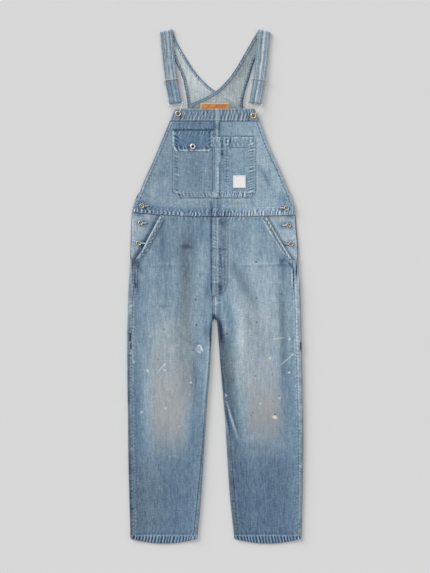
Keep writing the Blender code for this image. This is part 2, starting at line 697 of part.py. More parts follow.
def make_strap(side):
    """A strap, its wire buckle and its wire slider."""
    name = SIDE_NAME[side]
    half = STRAP_WIDTH / 2
    grid = []
    for y, z in strap_path():
        x, (ax, ay) = strap_frame(side, y)
        grid.append([(x - half * ax, y - half * ay, z), (x + half * ax, y + half * ay, z)])
    points = [tuple(value * MM for value in point) for row in grid for point in row]
    faces = [(2 * i, 2 * i + 1, 2 * i + 3, 2 * i + 2) for i in range(len(grid) - 1)]
    mesh = bpy.data.meshes.new("strap_" + name)
    mesh.from_pydata(points, [], faces)
    mesh.shade_smooth()
    strap = add("strap_" + name, mesh, DENIM)
    solidify = strap.modifiers.new("Cloth", "SOLIDIFY")
    solidify.thickness = STRAP_THICKNESS * MM
    solidify.offset = 0
    solidify.use_even_offset = True

    def placed(across, y, z):
        x, (ax, ay) = strap_frame(side, y)
        return (x + across * ax, y + across * ay, z)

    button_x, button_y = BIB_BUTTONS[side]
    ring_z = bib_top(button_x, button_y) + LAYER + GAP + WIRE / 2 + 0.5
    ring = 6.2
    points = [placed(-20.5, STRAP_LOOP_Y, STRAP_LOOP_Z), placed(20.5, STRAP_LOOP_Y, STRAP_LOOP_Z)]
    points.append(placed(21.8, STRAP_LOOP_Y - 6, STRAP_LOOP_Z + 3.5))
    for step in range(9):
        angle = math.radians(40 - 32.5 * step)
        points.append((button_x + ring * math.cos(angle), button_y + ring * math.sin(angle), ring_z))
    points.append(placed(-21.8, STRAP_LOOP_Y - 6, STRAP_LOOP_Z + 3.5))
    wire("buckle_" + name, points, STEEL)

    over = 6.5 + STRAP_THICKNESS / 2 + GAP + WIRE / 2 + 0.2
    under = 1.5 + STRAP_THICKNESS / 2 + GAP + WIRE / 2 + 0.1
    middle = (over + under) / 2
    points = [placed(-20.4, 620, over), placed(20.4, 620, over), placed(21.6, 617.5, over - 0.6)]
    points += [placed(21.8, 613, middle), placed(21.6, 608.5, under + 0.6), placed(20.4, 606, under)]
    points += [placed(-20.4, 606, under), placed(-21.6, 608.5, under + 0.6), placed(-21.8, 613, middle)]
    points.append(placed(-21.6, 617.5, over - 0.6))
    wire("slider_" + name, points, STEEL)


def make_buttons():
    """Bib buttons through the buckle rings, the side closures' buttons and the flap's button."""
    head = [(0, 5.9), (4.2, 5.6), (5.2, 5.0), (6.4, 5.2), (7.6, 5.9), (8.5, 5.2), (8.3, 4.2), (3.4, 3.6)]
    for side in (-1, 1):
        x, y = BIB_BUTTONS[side]
        seat = bib_top(x, y) + LAYER + GAP
        turned("bib_button_" + SIDE_NAME[side], [*head, (3.4, 0), (0, 0)], (x, y, seat), BRASS)
        for index, (x, y) in enumerate(SIDE_BUTTONS[side]):
            seat = leg_top(side, side * x, y) - FACING_DROP if index else bib_top(x, y - 8) + LAYER
            profile = [(0, 3.2), (3.2, 3.2), (4.2, 2.6), (5.4, 3.3), (7, 2.8), (6.8, 1.7), (3, 1.2), (3, 0), (0, 0)]
            name = f"side_button_{SIDE_NAME[side]}_{index + 1}"
            turned(name, profile, (x, y, seat + GAP), COPPER)
    x, y = FLAP_BUTTON
    profile = [(0, 1.9), (3.4, 1.9), (4.4, 3.4), (6.2, 3.8), (8.3, 2.9), (8.1, 1.7), (3.2, 1.2), (3.2, 0), (0, 0)]
    turned("flap_button", profile, (x, y, bib_top(x, y) + 2 * LAYER + GAP), STEEL)


for old in list(bpy.data.objects):
    bpy.data.objects.remove(old, do_unlink=True)
garment = bpy.data.collections.new("denim_dungarees")
bpy.context.scene.collection.children.link(garment)

for which in (-1, 1):
    make_legs(which)
    make_hip_pocket(which)
    make_strap(which)
make_fly()
make_bib()
make_bib_bands()
make_chest_pockets()
make_back()
make_buttons()
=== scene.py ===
import math
from collections import namedtuple

import bpy
import numpy as np
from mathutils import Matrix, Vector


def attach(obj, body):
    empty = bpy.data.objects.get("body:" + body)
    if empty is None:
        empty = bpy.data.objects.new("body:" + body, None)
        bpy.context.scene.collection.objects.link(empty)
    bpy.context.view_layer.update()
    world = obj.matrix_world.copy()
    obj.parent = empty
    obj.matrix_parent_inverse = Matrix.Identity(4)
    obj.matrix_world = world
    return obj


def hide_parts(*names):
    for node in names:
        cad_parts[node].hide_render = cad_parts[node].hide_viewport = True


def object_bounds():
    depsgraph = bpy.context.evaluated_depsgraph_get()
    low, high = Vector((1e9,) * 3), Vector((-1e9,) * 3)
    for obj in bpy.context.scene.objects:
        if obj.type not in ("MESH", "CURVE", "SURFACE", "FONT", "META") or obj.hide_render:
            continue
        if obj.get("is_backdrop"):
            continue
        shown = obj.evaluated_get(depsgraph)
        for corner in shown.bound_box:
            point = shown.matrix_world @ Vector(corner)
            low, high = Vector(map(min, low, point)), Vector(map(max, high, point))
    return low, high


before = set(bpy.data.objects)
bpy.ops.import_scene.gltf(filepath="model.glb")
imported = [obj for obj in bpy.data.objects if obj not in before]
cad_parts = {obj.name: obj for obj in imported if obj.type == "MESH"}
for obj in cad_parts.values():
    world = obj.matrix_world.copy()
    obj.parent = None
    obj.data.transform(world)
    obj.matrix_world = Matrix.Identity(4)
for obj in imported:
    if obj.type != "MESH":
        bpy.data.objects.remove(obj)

# Denim dungarees laid flat on their back. Tables and heights are in millimetres, as a cutter
# would note them, and each piece is scaled to metres when its mesh is made.

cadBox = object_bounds()
mm = 0.001
sides = {-1: "Left", 1: "Right"}
garment = {"wall": 1.0, "gap": 0.35, "seamGap": 0.28, "waistY": 208.0, "halfWaist": 250.0}
layer = garment["wall"] + garment["gap"]
waistBow = {-1: 13.5, 1: 6.0}
hem = {"sag": 15.0, "fade": 137.0}  # the hem's curve, and how far up it is felt
edgePuff = 45.0  # how far the roll along a leg's edge reaches in


def rowsOf(kind, *rows):
    return [kind(*row) for row in rows]


LegRow = namedtuple("LegRow", "y outer inner outerSeam innerSeam edge middle fork")
legs = {
    -1: rowsOf(LegRow,
        (-757, 254, 54, 15.5, 14, 3, 3.4, 1), (-690, 256, 47, 16, 12.5, 3.2, 3.4, 1),
        (-620, 258, 41.5, 16.5, 11, 3.4, 3.6, 1), (-550, 260, 37, 17, 8, 3.6, 3.8, 1),
        (-476, 261, 32.5, 17, 6.5, 3.7, 4, 1), (-400, 261.5, 27.5, 17, 6, 3.8, 4.2, 1),
        (-330, 263, 22.5, 17, 5.5, 3.9, 4.3, 1), (-272, 264, 17.5, 17.5, 5, 4, 4.4, 1),
        (-197, 264.4, 13.3, 17.5, 4, 4, 4.6, 1), (-140, 264, 10.8, 17.5, 3, 4, 4.6, 1),
        (-107, 263.2, 8.7, 17.5, 2, 4, 4.6, 1), (-102, 263.1, 7.7, 17.5, 1.4, 4, 4.6, 0.9),
        (-99.5, 263, 3.4, 17.5, 0.8, 4, 4.6, 0.6), (-90, 262.8, 2.3, 17.5, 0, 4, 4.6, 0.2),
        (-62, 262, 2.3, 17.5, 0, 4, 4.6, 0.05), (-32, 261, 2.4, 17.5, 0, 4, 4.6, 0),
        (0, 259.5, 2.4, 17.5, 0, 4, 4.6, 0), (40, 257.5, 2.4, 17.5, 0, 4, 4.6, 0),
        (76, 255.3, 2.4, 17.5, 0, 4, 4.6, 0), (79, 255.2, 2.4, 12, 0, 4, 4.6, 0),
        (82, 255, 2.4, 6, 0, 3.9, 4.6, 0), (86, 254.9, 2.4, 0, 0, 3.9, 4.6, 0),
        (108, 254.3, 2.3, 0, 0, 3.7, 4.6, 0), (135, 253.5, 2, 0, 0, 3.4, 4.6, 0),
        (165, 252.3, 1.5, 0, 0, 3, 4.6, 0), (190, 251, 1, 0, 0, 2.8, 4.6, 0),
        (208, 249.7, 0.6, 0, 0, 2.8, 4.6, 0)),
    1: rowsOf(LegRow,
        (-757, 258.8, 57, 12, 15.5, 3, 3.4, 1), (-690, 260.5, 50, 13.5, 16, 3.2, 3.4, 1),
        (-620, 262.4, 43, 15, 16.5, 3.4, 3.6, 1), (-550, 263.6, 38.5, 16, 16, 3.6, 3.8, 1),
        (-476, 264.4, 34, 16.5, 14.5, 3.7, 4, 1), (-400, 264.2, 30, 17, 12, 3.8, 4.2, 1),
        (-330, 263, 23.5, 17.5, 9, 3.9, 4.3, 1), (-272, 261.8, 18.5, 18.5, 7, 4, 4.4, 1),
        (-197, 260.3, 12.7, 19, 5, 4, 4.6, 1), (-140, 258.8, 8.6, 19, 3, 4, 4.6, 1),
        (-107, 258.1, 5.6, 19, 2, 4, 4.6, 1), (-102, 258, 4.6, 19, 1.4, 4, 4.6, 0.9),
        (-99.5, 257.9, -0.6, 19, 0.8, 4, 4.6, 0.6), (-90, 257.7, -2, 19, 0, 4, 4.6, 0.2),
        (-62, 257, -2, 19, 0, 4, 4.6, 0.05), (-32, 256, -2, 19, 0, 4, 4.6, 0),
        (0, 254.6, -2, 19, 0, 4, 4.6, 0), (40, 251, -2, 19, 0, 4, 4.6, 0),
        (76, 249.6, -2, 19, 0, 4, 4.6, 0), (79, 249.6, -2, 12, 0, 4, 4.6, 0),
        (82, 249.6, -2, 6, 0, 3.9, 4.6, 0), (86, 249.5, -2, 0, 0, 3.9, 4.6, 0),
        (108, 249.3, -1.9, 0, 0, 3.7, 4.6, 0), (135, 247.5, -1.6, 0, 0, 3.4, 4.6, 0),
        (165, 244.5, -1.1, 0, 0, 3, 4.6, 0), (190, 242.6, -0.6, 0, 0, 2.8, 4.6, 0),
        (208, 241.4, -0.2, 0, 0, 2.8, 4.6, 0)),
}

PocketRow = namedtuple("PocketRow", "y left right")
pocketRows = rowsOf(PocketRow,
    (79, 239.5, 232), (108, 219, 214), (135, 206, 197.5), (165, 188.5, 179), (190, 174, 164),
    (208, 163, 152.5))

# Creases across the fronts: middle, direction from +X, length, width and height, and how many
# grey levels they add or take, partly wear and partly painted shade in hollows and painted
# highlights on ridges; the darkest rows, about the fork, are painted shadow.
Crease = namedtuple("Crease", "x y angle length width height tone")
creases = rowsOf(Crease,
    (-88, 60, -88, 330, 26, -0.9, 0), (-50, -20, -89, 300, 24, 1.6, 5),
    (75, -40, -78, 290, 26, -0.9, 0), (74, -130, -86, 300, 30, 2.2, 2),
    (55, -405, -75, 170, 18, 1.8, 6), (-62, -215, -62, 130, 20, 1.4, 4),
    (195, -70, -86, 240, 26, -0.8, 0), (-165, -560, -85, 260, 34, 1.5, 0),
    (150, -590, -95, 260, 34, 1.5, 0), (-86, 70, -89, 420, 18, -0.7, -25),
    (-88, -180, -90, 460, 20, -0.7, -23), (-20, -8, -90, 120, 9, -0.5, -24),
    (-155, 130, -90, 170, 10, -0.8, -24), (-38, 60, -90, 260, 13, 0.5, 19),
    (-27, -135, -86, 90, 8, -0.4, -24), (-120, 40, -90, 160, 13, 0.5, 17),
    (-148, -130, -90, 210, 26, 0.4, 11), (-219, 49, -53, 96, 7, -0.8, -24),
    (-229, 0, -76, 100, 7, -0.6, -16), (-3, -96, 90, 34, 7, 0, -100),
    (-12.5, -142, -90, 116, 5, 0, -120), (-60, -265, -88, 330, 13, -0.4, -30),
    (-66, -450, -88, 220, 13, -0.3, -15), (-206, 45, -50, 80, 24, 0.2, 14),
    (-226, -330, -88, 420, 13, -0.3, -9), (-42, 160, -90, 110, 9, 0, -14),
    (-28, -590, -88, 300, 8, 0.3, 8), (-192, -505, -86, 240, 12, 0.4, 6),
    (-236, 66, -80, 60, 6, 0, -40), (-183, 15, -92, 230, 17, 0.7, 9),
    (-22, -90, -88, 210, 10, 0.7, 6), (-66, -186, -38, 100, 6, 0.9, 7),
    (-60, -205, -50, 96, 5, 0.8, 7), (-55, -226, -64, 110, 5, 0.7, 5),
    (-75, -168, -28, 80, 6, -0.6, -8), (-130, -250, -96, 260, 13, 0.5, 4),
    (-205, -190, -84, 280, 11, -0.5, -7), (-116, -47, 0, 210, 3, 0.4, 6),
    (-150, 66, 1, 165, 4, 0.45, 9), (-150, 59, 1, 165, 3, -0.3, -7), (-110, 96, 24, 120, 7, -0.4, -5),
    (-196, -330, -78, 130, 8, 0.6, 4), (-120, -470, -86, 220, 11, 0.6, 4),
    (-75, -600, -94, 240, 12, -0.5, -4), (-215, -640, -88, 200, 12, -0.5, -3),
    (61, 48, -76, 120, 9, -1, -20), (90, 2, -70, 190, 16, -1.1, -31),
    (52, -120, -80, 100, 12, -0.4, -18), (60, 138, -90, 130, 12, -0.4, -12),
    (118, 140, -90, 130, 15, 0.4, 12), (180, 126, -78, 120, 12, -0.4, -15),
    (204, 62, -88, 110, 12, -0.5, -30), (130, -150, -80, 130, 11, -0.7, -13),
    (48, -78, -81, 100, 7, -0.9, -16), (79, -165, -89, 250, 10, 1, 10),
    (160, 5, -84, 220, 16, 0.9, 9), (205, -130, -89, 480, 12, -1, -40),
    (228, 60, -60, 90, 6, -0.7, -15), (244, -20, -88, 160, 8, 0.6, 6),
    (241, -200, -89, 520, 8, 0.3, 16), (86, -180, -88, 200, 11, 0.5, 19),
    (28, -115, -82, 70, 9, 0.5, 30), (12, -132, -83, 100, 9, -0.3, -130),
    (214, -330, -89, 330, 26, -0.4, -21), (124, -70, -76, 120, 9, -0.4, -15),
    (110, 66, -84, 110, 12, 0.4, 12), (49, -394, -73, 180, 3.6, 1.3, 84),
    (38, -430, -80, 120, 3.4, 0.8, 40), (57, -400, -72, 160, 5, -0.8, -26),
    (40, -405, -74, 140, 6, -0.7, -14), (130, -455, 3, 140, 12, 0.8, 7),
    (120, -486, -3, 150, 9, -0.6, -9), (150, 68, 2, 200, 4, 0.45, 13),
    (152, 61, 2, 200, 3, -0.3, -12), (205, 62, -5, 70, 4, -0.3, -18), (170, -40, 0, 120, 5, 0.3, 3),
    (110, -260, -100, 220, 12, 0.5, 4), (184, -280, -82, 240, 11, 0.5, 4),
    (95, -610, -88, 260, 12, -0.5, -4), (208, -620, -93, 240, 13, 0.5, 3),
    (-200, 108, -60, 90, 12, 0, 20), (-105, 175, -90, 80, 16, 0, 10), (-66, 140, -90, 170, 9, 0, -10),
    (-222, 20, -88, 110, 12, 0, 11), (-246, -190, -90, 160, 6, 0, 16),
    (-50, -180, -88, 120, 9, 0, -14), (-31, -90, -88, 90, 7, 0, -14), (-30, -370, -88, 240, 7, 0, 11),
    (36, -60, -86, 120, 12, 0, -12), (75, -80, -70, 90, 8, 0, 14), (100, -100, -75, 80, 9, 0, -16),
    (86, -8, -75, 70, 8, 0, -11), (141, -80, -88, 120, 12, 0, 9), (168, 130, -88, 110, 9, 0, 13),
    (195, -70, -88, 220, 7, 0, -8), (232, -150, -89, 260, 7, 0, -19), (33, -142, -75, 60, 8, 0, 21),
    (-246.4, 62, -90, 74, 1.7, -0.3, -110), (-248.6, 24, -86, 36, 1.7, 0, -66),
    (-240.6, 36, -90, 60, 1.6, 0, -74), (-243.4, 50, -90, 56, 1.5, 0, 70),
    (-237.6, 3, -90, 28, 3, 0, -66), (-242.6, 4, -90, 28, 3.2, 0, 22),
    (-229, 71, -60, 20, 2.4, 0, -30), (-232, 60, -70, 20, 2.4, 0, -24),
    (-252, 30, -90, 130, 4.5, 0, 34), (-255, -50, -90, 110, 2.4, 0, 34),
    (244, 48, -90, 72, 2, -0.3, -126), (234.7, 22, -90, 110, 2.2, -0.3, -96),
    (226, 63, -55, 38, 2.4, 0, -64), (230.3, 16, -90, 84, 1.8, 0, 50),
    (239.6, 0, -90, 44, 1.8, 0, 50), (249.5, 30, -90, 96, 4, 0, 32), (201, 76, 0, 38, 7, 0, -36))
# Where the cloth has greyed, as a share in the hundred instead of grey levels.
greyed = rowsOf(Crease,
    (-86, -60, -90, 700, 26, 0, 78), (-150, -170, -90, 300, 46, 0, 62),
    (95, -20, -70, 260, 26, 0, 45), (205, -90, -89, 460, 22, 0, 45), (78, -250, -86, 300, 24, 0, 60),
    (28, -260, -86, 360, 28, 0, 85), (130, -140, -88, 320, 44, 0, 38),
    (-196, -640, -90, 360, 44, 0, 34), (-140, 150, -90, 120, 40, 0, 18),
    (-62, -300, -88, 360, 20, 0, 40), (-35, -560, -88, 420, 22, 0, 36),
    (110, -430, -90, 160, 70, 0, 22))
bibCreases = rowsOf(Crease,
    (150, 330, -56, 100, 8, -0.3, -15), (134, 400, -64, 190, 15, 0.3, 12),
    (188, 300, -60, 150, 14, 0.2, 8), (-182, 285, 60, 130, 20, 0.2, 10),
    (-150, 348, 66, 140, 13, -0.2, -12), (-140, 250, 4, 190, 9, 0.2, 7),
    (-62, 345, 88, 130, 22, 0.2, -7), (-96, 360, 90, 130, 14, 0.2, 5), (62, 382, 86, 120, 15, 0.2, 8),
    (98, 330, 80, 140, 12, 0.2, -7), (70, 238, -2, 260, 8, 0.2, 8), (30, 340, 84, 160, 12, -0.2, -9),
    (-8, 240, 90, 60, 13, 0, -14), (6, 478, 90, 36, 12, 0, -34), (-12.5, 238, 90, 56, 3.5, 0, -44),
    (14.5, 240, 90, 50, 3, 0, -30), (206, 262, -62, 60, 9, 0, -30), (150, 330, -58, 130, 4, 0, -16))
# Creases of the backs, seen from beneath, which lift a little off the surface.
backCreases = rowsOf(Crease,
    (-140, 60, -80, 260, 22, 1, 0), (-70, -60, -66, 200, 16, 0.8, 0),
    (-190, -150, -94, 300, 20, 0.9, 0), (-110, -330, -35, 150, 14, 0.8, 0),
    (-150, -352, -48, 130, 12, 0.7, 0), (-120, -560, -88, 300, 22, 0.8, 0),
    (120, 40, -98, 240, 20, 1, 0), (66, -90, -115, 190, 16, 0.8, 0),
    (190, -130, -86, 320, 22, 0.9, 0), (120, -340, 32, 150, 14, 0.8, 0),
    (160, -318, 44, 120, 11, 0.7, 0), (140, -590, -92, 300, 24, 0.8, 0))

# Grey levels down each leg (60 is unworn indigo, 220 nearly white) and how brown its middle is.
# The right leg's dark inner side is unworn indigo together with painted shade.
ToneRow = namedtuple("ToneRow", "y middle outer inner brown")
legTones = {
    -1: rowsOf(ToneRow,
        (-757, 122, 121, 127, 0), (-640, 123, 123, 127, 0), (-540, 129, 125, 126, 0.05),
        (-480, 145, 128, 124, 0.45), (-430, 158, 133, 128, 0.95), (-360, 167, 136, 136, 1),
        (-280, 167, 143, 143, 0.8), (-180, 165, 148, 148, 0.3), (-60, 153, 148, 150, 0.1),
        (0, 147, 140, 148, 0.05), (60, 142, 136, 148, 0.1), (110, 143, 144, 146, 0),
        (208, 140, 144, 140, 0)),
    1: rowsOf(ToneRow,
        (-757, 116, 122, 112, 0), (-640, 117, 125, 113, 0), (-540, 122, 127, 114, 0.05),
        (-480, 144, 133, 112, 0.3), (-430, 152, 138, 101, 0.85), (-360, 163, 141, 99, 1),
        (-280, 169, 144, 100, 0.6), (-180, 170, 150, 101, 0.2), (-110, 174, 154, 118, 0.2),
        (-60, 172, 154, 150, 0.1), (0, 170, 148, 152, 0.1), (60, 166, 148, 150, 0.05),
        (110, 158, 154, 150, 0), (208, 152, 158, 146, 0)),
}

BibRow = namedtuple("BibRow", "y left centre right")
bibRows = rowsOf(BibRow,
    (208, -249.5, 0, 241.2), (223, -246.5, 0.2, 239.6), (247, -240.5, 0.6, 233.6),
    (271, -230, 1.2, 226), (307, -217, 2.4, 211), (331, -206.5, 3, 201), (355, -195.5, 3.6, 190.7),
    (379, -184.5, 4.2, 178.5), (403, -174.5, 4.6, 167.6), (427, -164.5, 5, 157.6),
    (451, -154.5, 5.2, 148), (475, -144.5, 5.4, 139.5), (499, -134.5, 5.5, 131.6),
    (516, -127.5, 5.5, 124.5), (532.8, -120.5, 5.5, 118))
BackRow = namedtuple("BackRow", "y left right")
backRows = rowsOf(BackRow,
    (208.4, -247.5, 239), (240, -243, 231.5), (256, -240, 228.5), (272, -234.5, 221.5),
    (306, -201.5, 195), (342, -169, 166), (379, -141, 140), (424, -115, 116), (469, -96.5, 98),
    (522.8, -84, 85))
YokeRow = namedtuple("YokeRow", "outerX outerY innerX innerY")
yokeRows = {
    -1: rowsOf(YokeRow,
        (-83, 523.2, 83.5, 523.2), (-83.2, 535, 83, 535), (-83.8, 547, 76, 553), (-85, 558, 38, 570),
        (-87.5, 574, -3.5, 589), (-91, 592, -21.5, 602.5), (-95.8, 617, -46, 627.5),
        (-106, 645, -60, 644.5), (-118.5, 671, -71, 660), (-129.5, 703, -95.5, 699),
        (-146, 739, -114, 732), (-163.5, 761.1, -124.5, 764.5)),
    1: rowsOf(YokeRow,
        (84.5, 523.2, -84, 523.2), (84, 535, -82, 535), (83, 545, -72, 548), (84, 556, -34, 565),
        (87, 571, -1.5, 582.5), (91, 588, 16, 597), (97, 606, 30, 612), (103, 625, 43.5, 627),
        (110.5, 652, 56, 645.5), (119.5, 679.5, 68.5, 664.5), (135, 707, 90, 702),
        (149, 731.5, 108, 734), (165, 761, 126, 764.4)),
}
crossing = {"x": -3.5, "y": 589.0, "faceX": 0.413, "faceY": 0.911, "ramp": 80.0}

StrapRow = namedtuple("StrapRow", "y out")
strapLine = rowsOf(StrapRow, (548, 119), (611, 130.5), (680, 139.3), (772, 147.3))
strap = {
    "width": 37.0, "thickness": 2.2, "foldY": 767.2, "foldRadius": 1.9, "loopY": 552.0, "loopZ": 5.2,
    "rows": (3.5, 33.5, 9.0, 28.0),  # stitch lines over its width
}
strapOver = [(769, 4.9), (740, 4.4), (700, 4.3), (660, 5.0), (632, 6.2), (611, 6.8), (590, 6.7), (570, 7.2)]
strapUnder = [(556, 2.55), (580, 1.8), (602, 1.5), (624, 1.45)]
wireWidth = 2.3

bibButtons = {-1: (-111.0, 517.5), 1: (114.5, 511.0)}
sideButtons = {-1: [(-220, 241), (-224, 190), (-230, 129)], 1: [(214, 235), (220.5, 183), (228, 127)]}
flapButton = (-67.0, 419.0)


def ramp(value, low, high):
    t = np.clip((value - low) / (high - low), 0.0, 1.0)
    return t * t * (3 - 2 * t)


def bell(distance, width):
    return np.exp(-((distance / width) ** 2))


def within(value, riseFrom, riseTo, fallFrom, fallTo):  # 1 between two soft ends
    return ramp(value, riseFrom, riseTo) * (1 - ramp(value, fallFrom, fallTo))


curves = {}


def between(table, key, y):  # a column of a table at y, on a smooth curve that never overshoots
    place = (id(table), key)
    if place not in curves:
        points = sorted((row.y, getattr(row, key)) for row in table)
        at = np.array([point[0] for point in points], float)
        value = np.array([point[1] for point in points], float)
        slope = np.diff(value) / np.diff(at)
        product = slope[:-1] * slope[1:]
        total = slope[:-1] + slope[1:]
        safe = np.where(np.abs(total) < 1e-12, 1.0, total)
        inner = np.where(product > 0, 2 * product / safe, 0.0)
        curves[place] = (at, value, np.concatenate([slope[:1], inner, slope[-1:]]))
    at, value, tangent = curves[place]
    y = np.clip(y, at[0], at[-1])
    i = np.clip(np.searchsorted(at, y) - 1, 0, len(at) - 2)
    span = at[i + 1] - at[i]
    t = (y - at[i]) / span
    first = value[i] * (1 + 2 * t) * (1 - t) ** 2 + tangent[i] * span * t * (1 - t) ** 2
    second = value[i + 1] * t**2 * (3 - 2 * t) + tangent[i + 1] * span * t**2 * (t - 1)
    return first + second


def pocketLine(side, y):
    return between(pocketRows, "left" if side < 0 else "right", y)


def waistY(x):
    bow = np.where(x < 0, waistBow[-1], waistBow[1])
    return garment["waistY"] + bow * (x / garment["halfWaist"]) ** 2


def arcDrop(distance, radius):
    inside = np.maximum(radius - distance, 0.0)
    return radius - np.sqrt(np.maximum(radius**2 - inside**2, 0.0))


def creaseField(table, x, y, key):
    total = np.zeros(np.broadcast(x, y).shape)
    for crease in table:
        turn = math.radians(crease.angle)
        along = (x - crease.x) * math.cos(turn) + (y - crease.y) * math.sin(turn)
        across = (y - crease.y) * math.cos(turn) - (x - crease.x) * math.sin(turn)
        reach = np.clip(np.abs(2 * along / crease.length), 0, 1)
        total += getattr(crease, key) * (1 - reach**2) ** 2 * bell(across, crease.width)
    return total


def fromEdges(side, out, y):  # how far a place is from a leg's outer and inner edge
    return between(legs[side], "outer", y) - out, out - between(legs[side], "inner", y)


def legTop(side, out, y):
    edge, middle, fork = (between(legs[side], key, y) for key in ("edge", "middle", "fork"))
    fromOuter, fromInner = fromEdges(side, out, y)
    puff = 2 * edge - middle
    z = middle + puff * (1 - ramp(fromOuter, edge, edge + edgePuff))
    z = z + puff * fork * (1 - ramp(fromInner, edge, edge + edgePuff))
    z = z - arcDrop(fromOuter, edge) - fork * arcDrop(fromInner, edge)
    return z + creaseField(creases, side * out, y, "height")


def legUnder(side, out, y):
    edge, fork = (between(legs[side], key, y) for key in ("edge", "fork"))
    fromOuter, fromInner = fromEdges(side, out, y)
    flat = ramp(fromOuter, 18, 40) * (1 - fork * (1 - ramp(fromInner, 18, 40)))
    lift = creaseField(backCreases, side * out, y, "height") * flat
    return arcDrop(fromOuter, edge) + fork * arcDrop(fromInner, edge) + lift


def bibTop(x, y):
    edge = np.minimum(x - between(bibRows, "left", y), between(bibRows, "right", y) - x)
    lift = 2.4 * ramp(y, 400, 510) * (1 - 0.5 * ramp(np.abs(x), 70, 125))
    return 4.6 + lift + 0.6 * (1 - ramp(edge, 4, 32))


def rightYokeLift(x, y):
    beyond = (x - crossing["x"]) * crossing["faceX"] + (y - crossing["y"]) * crossing["faceY"]
    return 2 * layer * (1 - ramp(beyond, 0, crossing["ramp"]))


def bowed(out, y, side):  # the curve of the hem and of the waist
    row = legs[side][0]
    position = 2 * (out - row.inner) / (row.outer - row.inner) - 1
    fade = np.maximum(1 - (y - row.y) / hem["fade"], 0.0) ** 2
    sag = hem["sag"] * fade * np.maximum(1 - position**2, 0.0)
    rise = (waistY(side * out) - garment["waistY"]) * ramp(y, 135, garment["waistY"])
    return y - sag + rise


def rope(distance, seed, pitch):  # uneven soft ridges, from -1 to 1
    knots = np.random.default_rng(seed).uniform(-1, 1, 512)
    place = np.asarray(distance, float) / pitch * 2 + 100
    i = np.floor(place).astype(int)
    t = place - i
    t = t * t * (3 - 2 * t)
    return knots[i % 512] * (1 - t) + knots[(i + 1) % 512] * t


def bars(distance, seed, pitch, wild=1.0):  # close uneven ridges with narrow hollows, from -1 to 1
    distance = np.asarray(distance, float)
    drift = wild * (2.8 * rope(distance, seed, pitch * 5) + 1.3 * rope(distance, seed + 300, pitch * 2))
    strength = 1 - wild * (0.25 - 0.65 * rope(distance, seed + 600, pitch * 2.2))
    return np.tanh(2.2 * np.sin(distance / pitch * 2 * math.pi + drift)) * strength


# Puckers and lines come as a pair: height in mm and tone in grey levels.
def pucker(across, along, seed, pitch=9.0, reach=5.0, rise=0.28, tone=12.0, lean=0.4, bend=0.0):
    wave = bars(along + lean * across + bend * across**2, seed, pitch)
    near = bell(across, reach)
    return np.array([rise * (wave + 1) / 2 * near, tone * wave * near])


def line(across, width, tone, height=0.0, along=None, seed=0, rough=0.35):  # a worn or shaded line
    near = bell(across, width)
    uneven = 1.0 if along is None else 0.75 + 0.3 * rope(along, seed, 30) + rough * bars(along, seed, 11)
    return np.array([height * near, tone * near * uneven])


def legTone(side, out, y):
    rows = legTones[side]
    fromOuter, fromInner = fromEdges(side, out, y)
    middle = between(rows, "middle", y)
    tone = middle + (between(rows, "outer", y) - middle) * (1 - ramp(fromOuter, 12, 66))
    reach = 66 if side < 0 else 60
    tone = tone + (between(rows, "inner", y) - middle) * (1 - ramp(fromInner, 4, reach))
    return tone + creaseField(creases, side * out, y, "tone")


def legBrown(side, out, y):
    fromOuter, fromInner = fromEdges(side, out, y)
    low, high = (34, 84) if side < 0 else (50, 96)
    knee = ramp(fromOuter, 40, 96) * ramp(fromInner, low, high)
    return between(legTones[side], "brown", y) * knee


def legGrey(side, out, y):
    return np.clip(creaseField(greyed, side * out, y, "tone") / 100, 0, 1)


def hemBand(side, out, y):  # height above the hem's edge, and how high its stitch line lies there
    low = legs[side][0]
    position = 2 * (out - low.inner) / (low.outer - low.inner) - 1
    return y - low.y, 8.5 + 10.5 * np.maximum(1 - position**2, 0)


def hemRelief(side, out, y, seed):
    up, stitched = hemBand(side, out, y)
    inside = ramp(stitched + 1 - up, 0, 3)
    wave = bars(out + 0.25 * up, seed, 9.2, wild=0.45)
    wave = wave - 0.35 * np.maximum(-wave, 0)
    relief = np.array([0.4 * (wave + 1.35) / 2.35 * inside, 54 * wave * inside - 2 * inside])
    relief += line(up - stitched - 1, 1.9, 46, 0, out, seed + 2) + line(up - stitched - 5.5, 3, -14)
    relief += line(up - 0.5, 2.0, 18, 0, out, seed + 4)
    near = bell(up - stitched - 9, 8)
    above = bars(out + 0.6 * up, seed + 1, 12) * near
    return relief + np.array([0.12 * (above + 1) * near, 9 * above])


fly = {
    "left": -10.5, "right": 38.0, "foot": 8.0, "turnY": 25.0, "footY": -29.0,
    "lift": garment["gap"] + 0.05, "tone": 143,
}


def flyEdge(y):
    low = np.minimum((y - fly["turnY"]) / (fly["turnY"] - fly["footY"]), 0.0)
    return fly["foot"] + (fly["right"] - fly["foot"]) * np.sqrt(np.maximum(1 - low**2, 0))


seamWear = {  # grey levels along a front's edges, then along the back's part of the same seams
    -1: {"edge": 24, "hollow": -8, "inner": 14, "pucker": 32, "ridge": 12, "strip": -40, "inseam": 8},
    1: {"edge": 30, "hollow": 6, "inner": 12, "pucker": 19, "ridge": 34, "strip": 12, "inseam": -6},
}


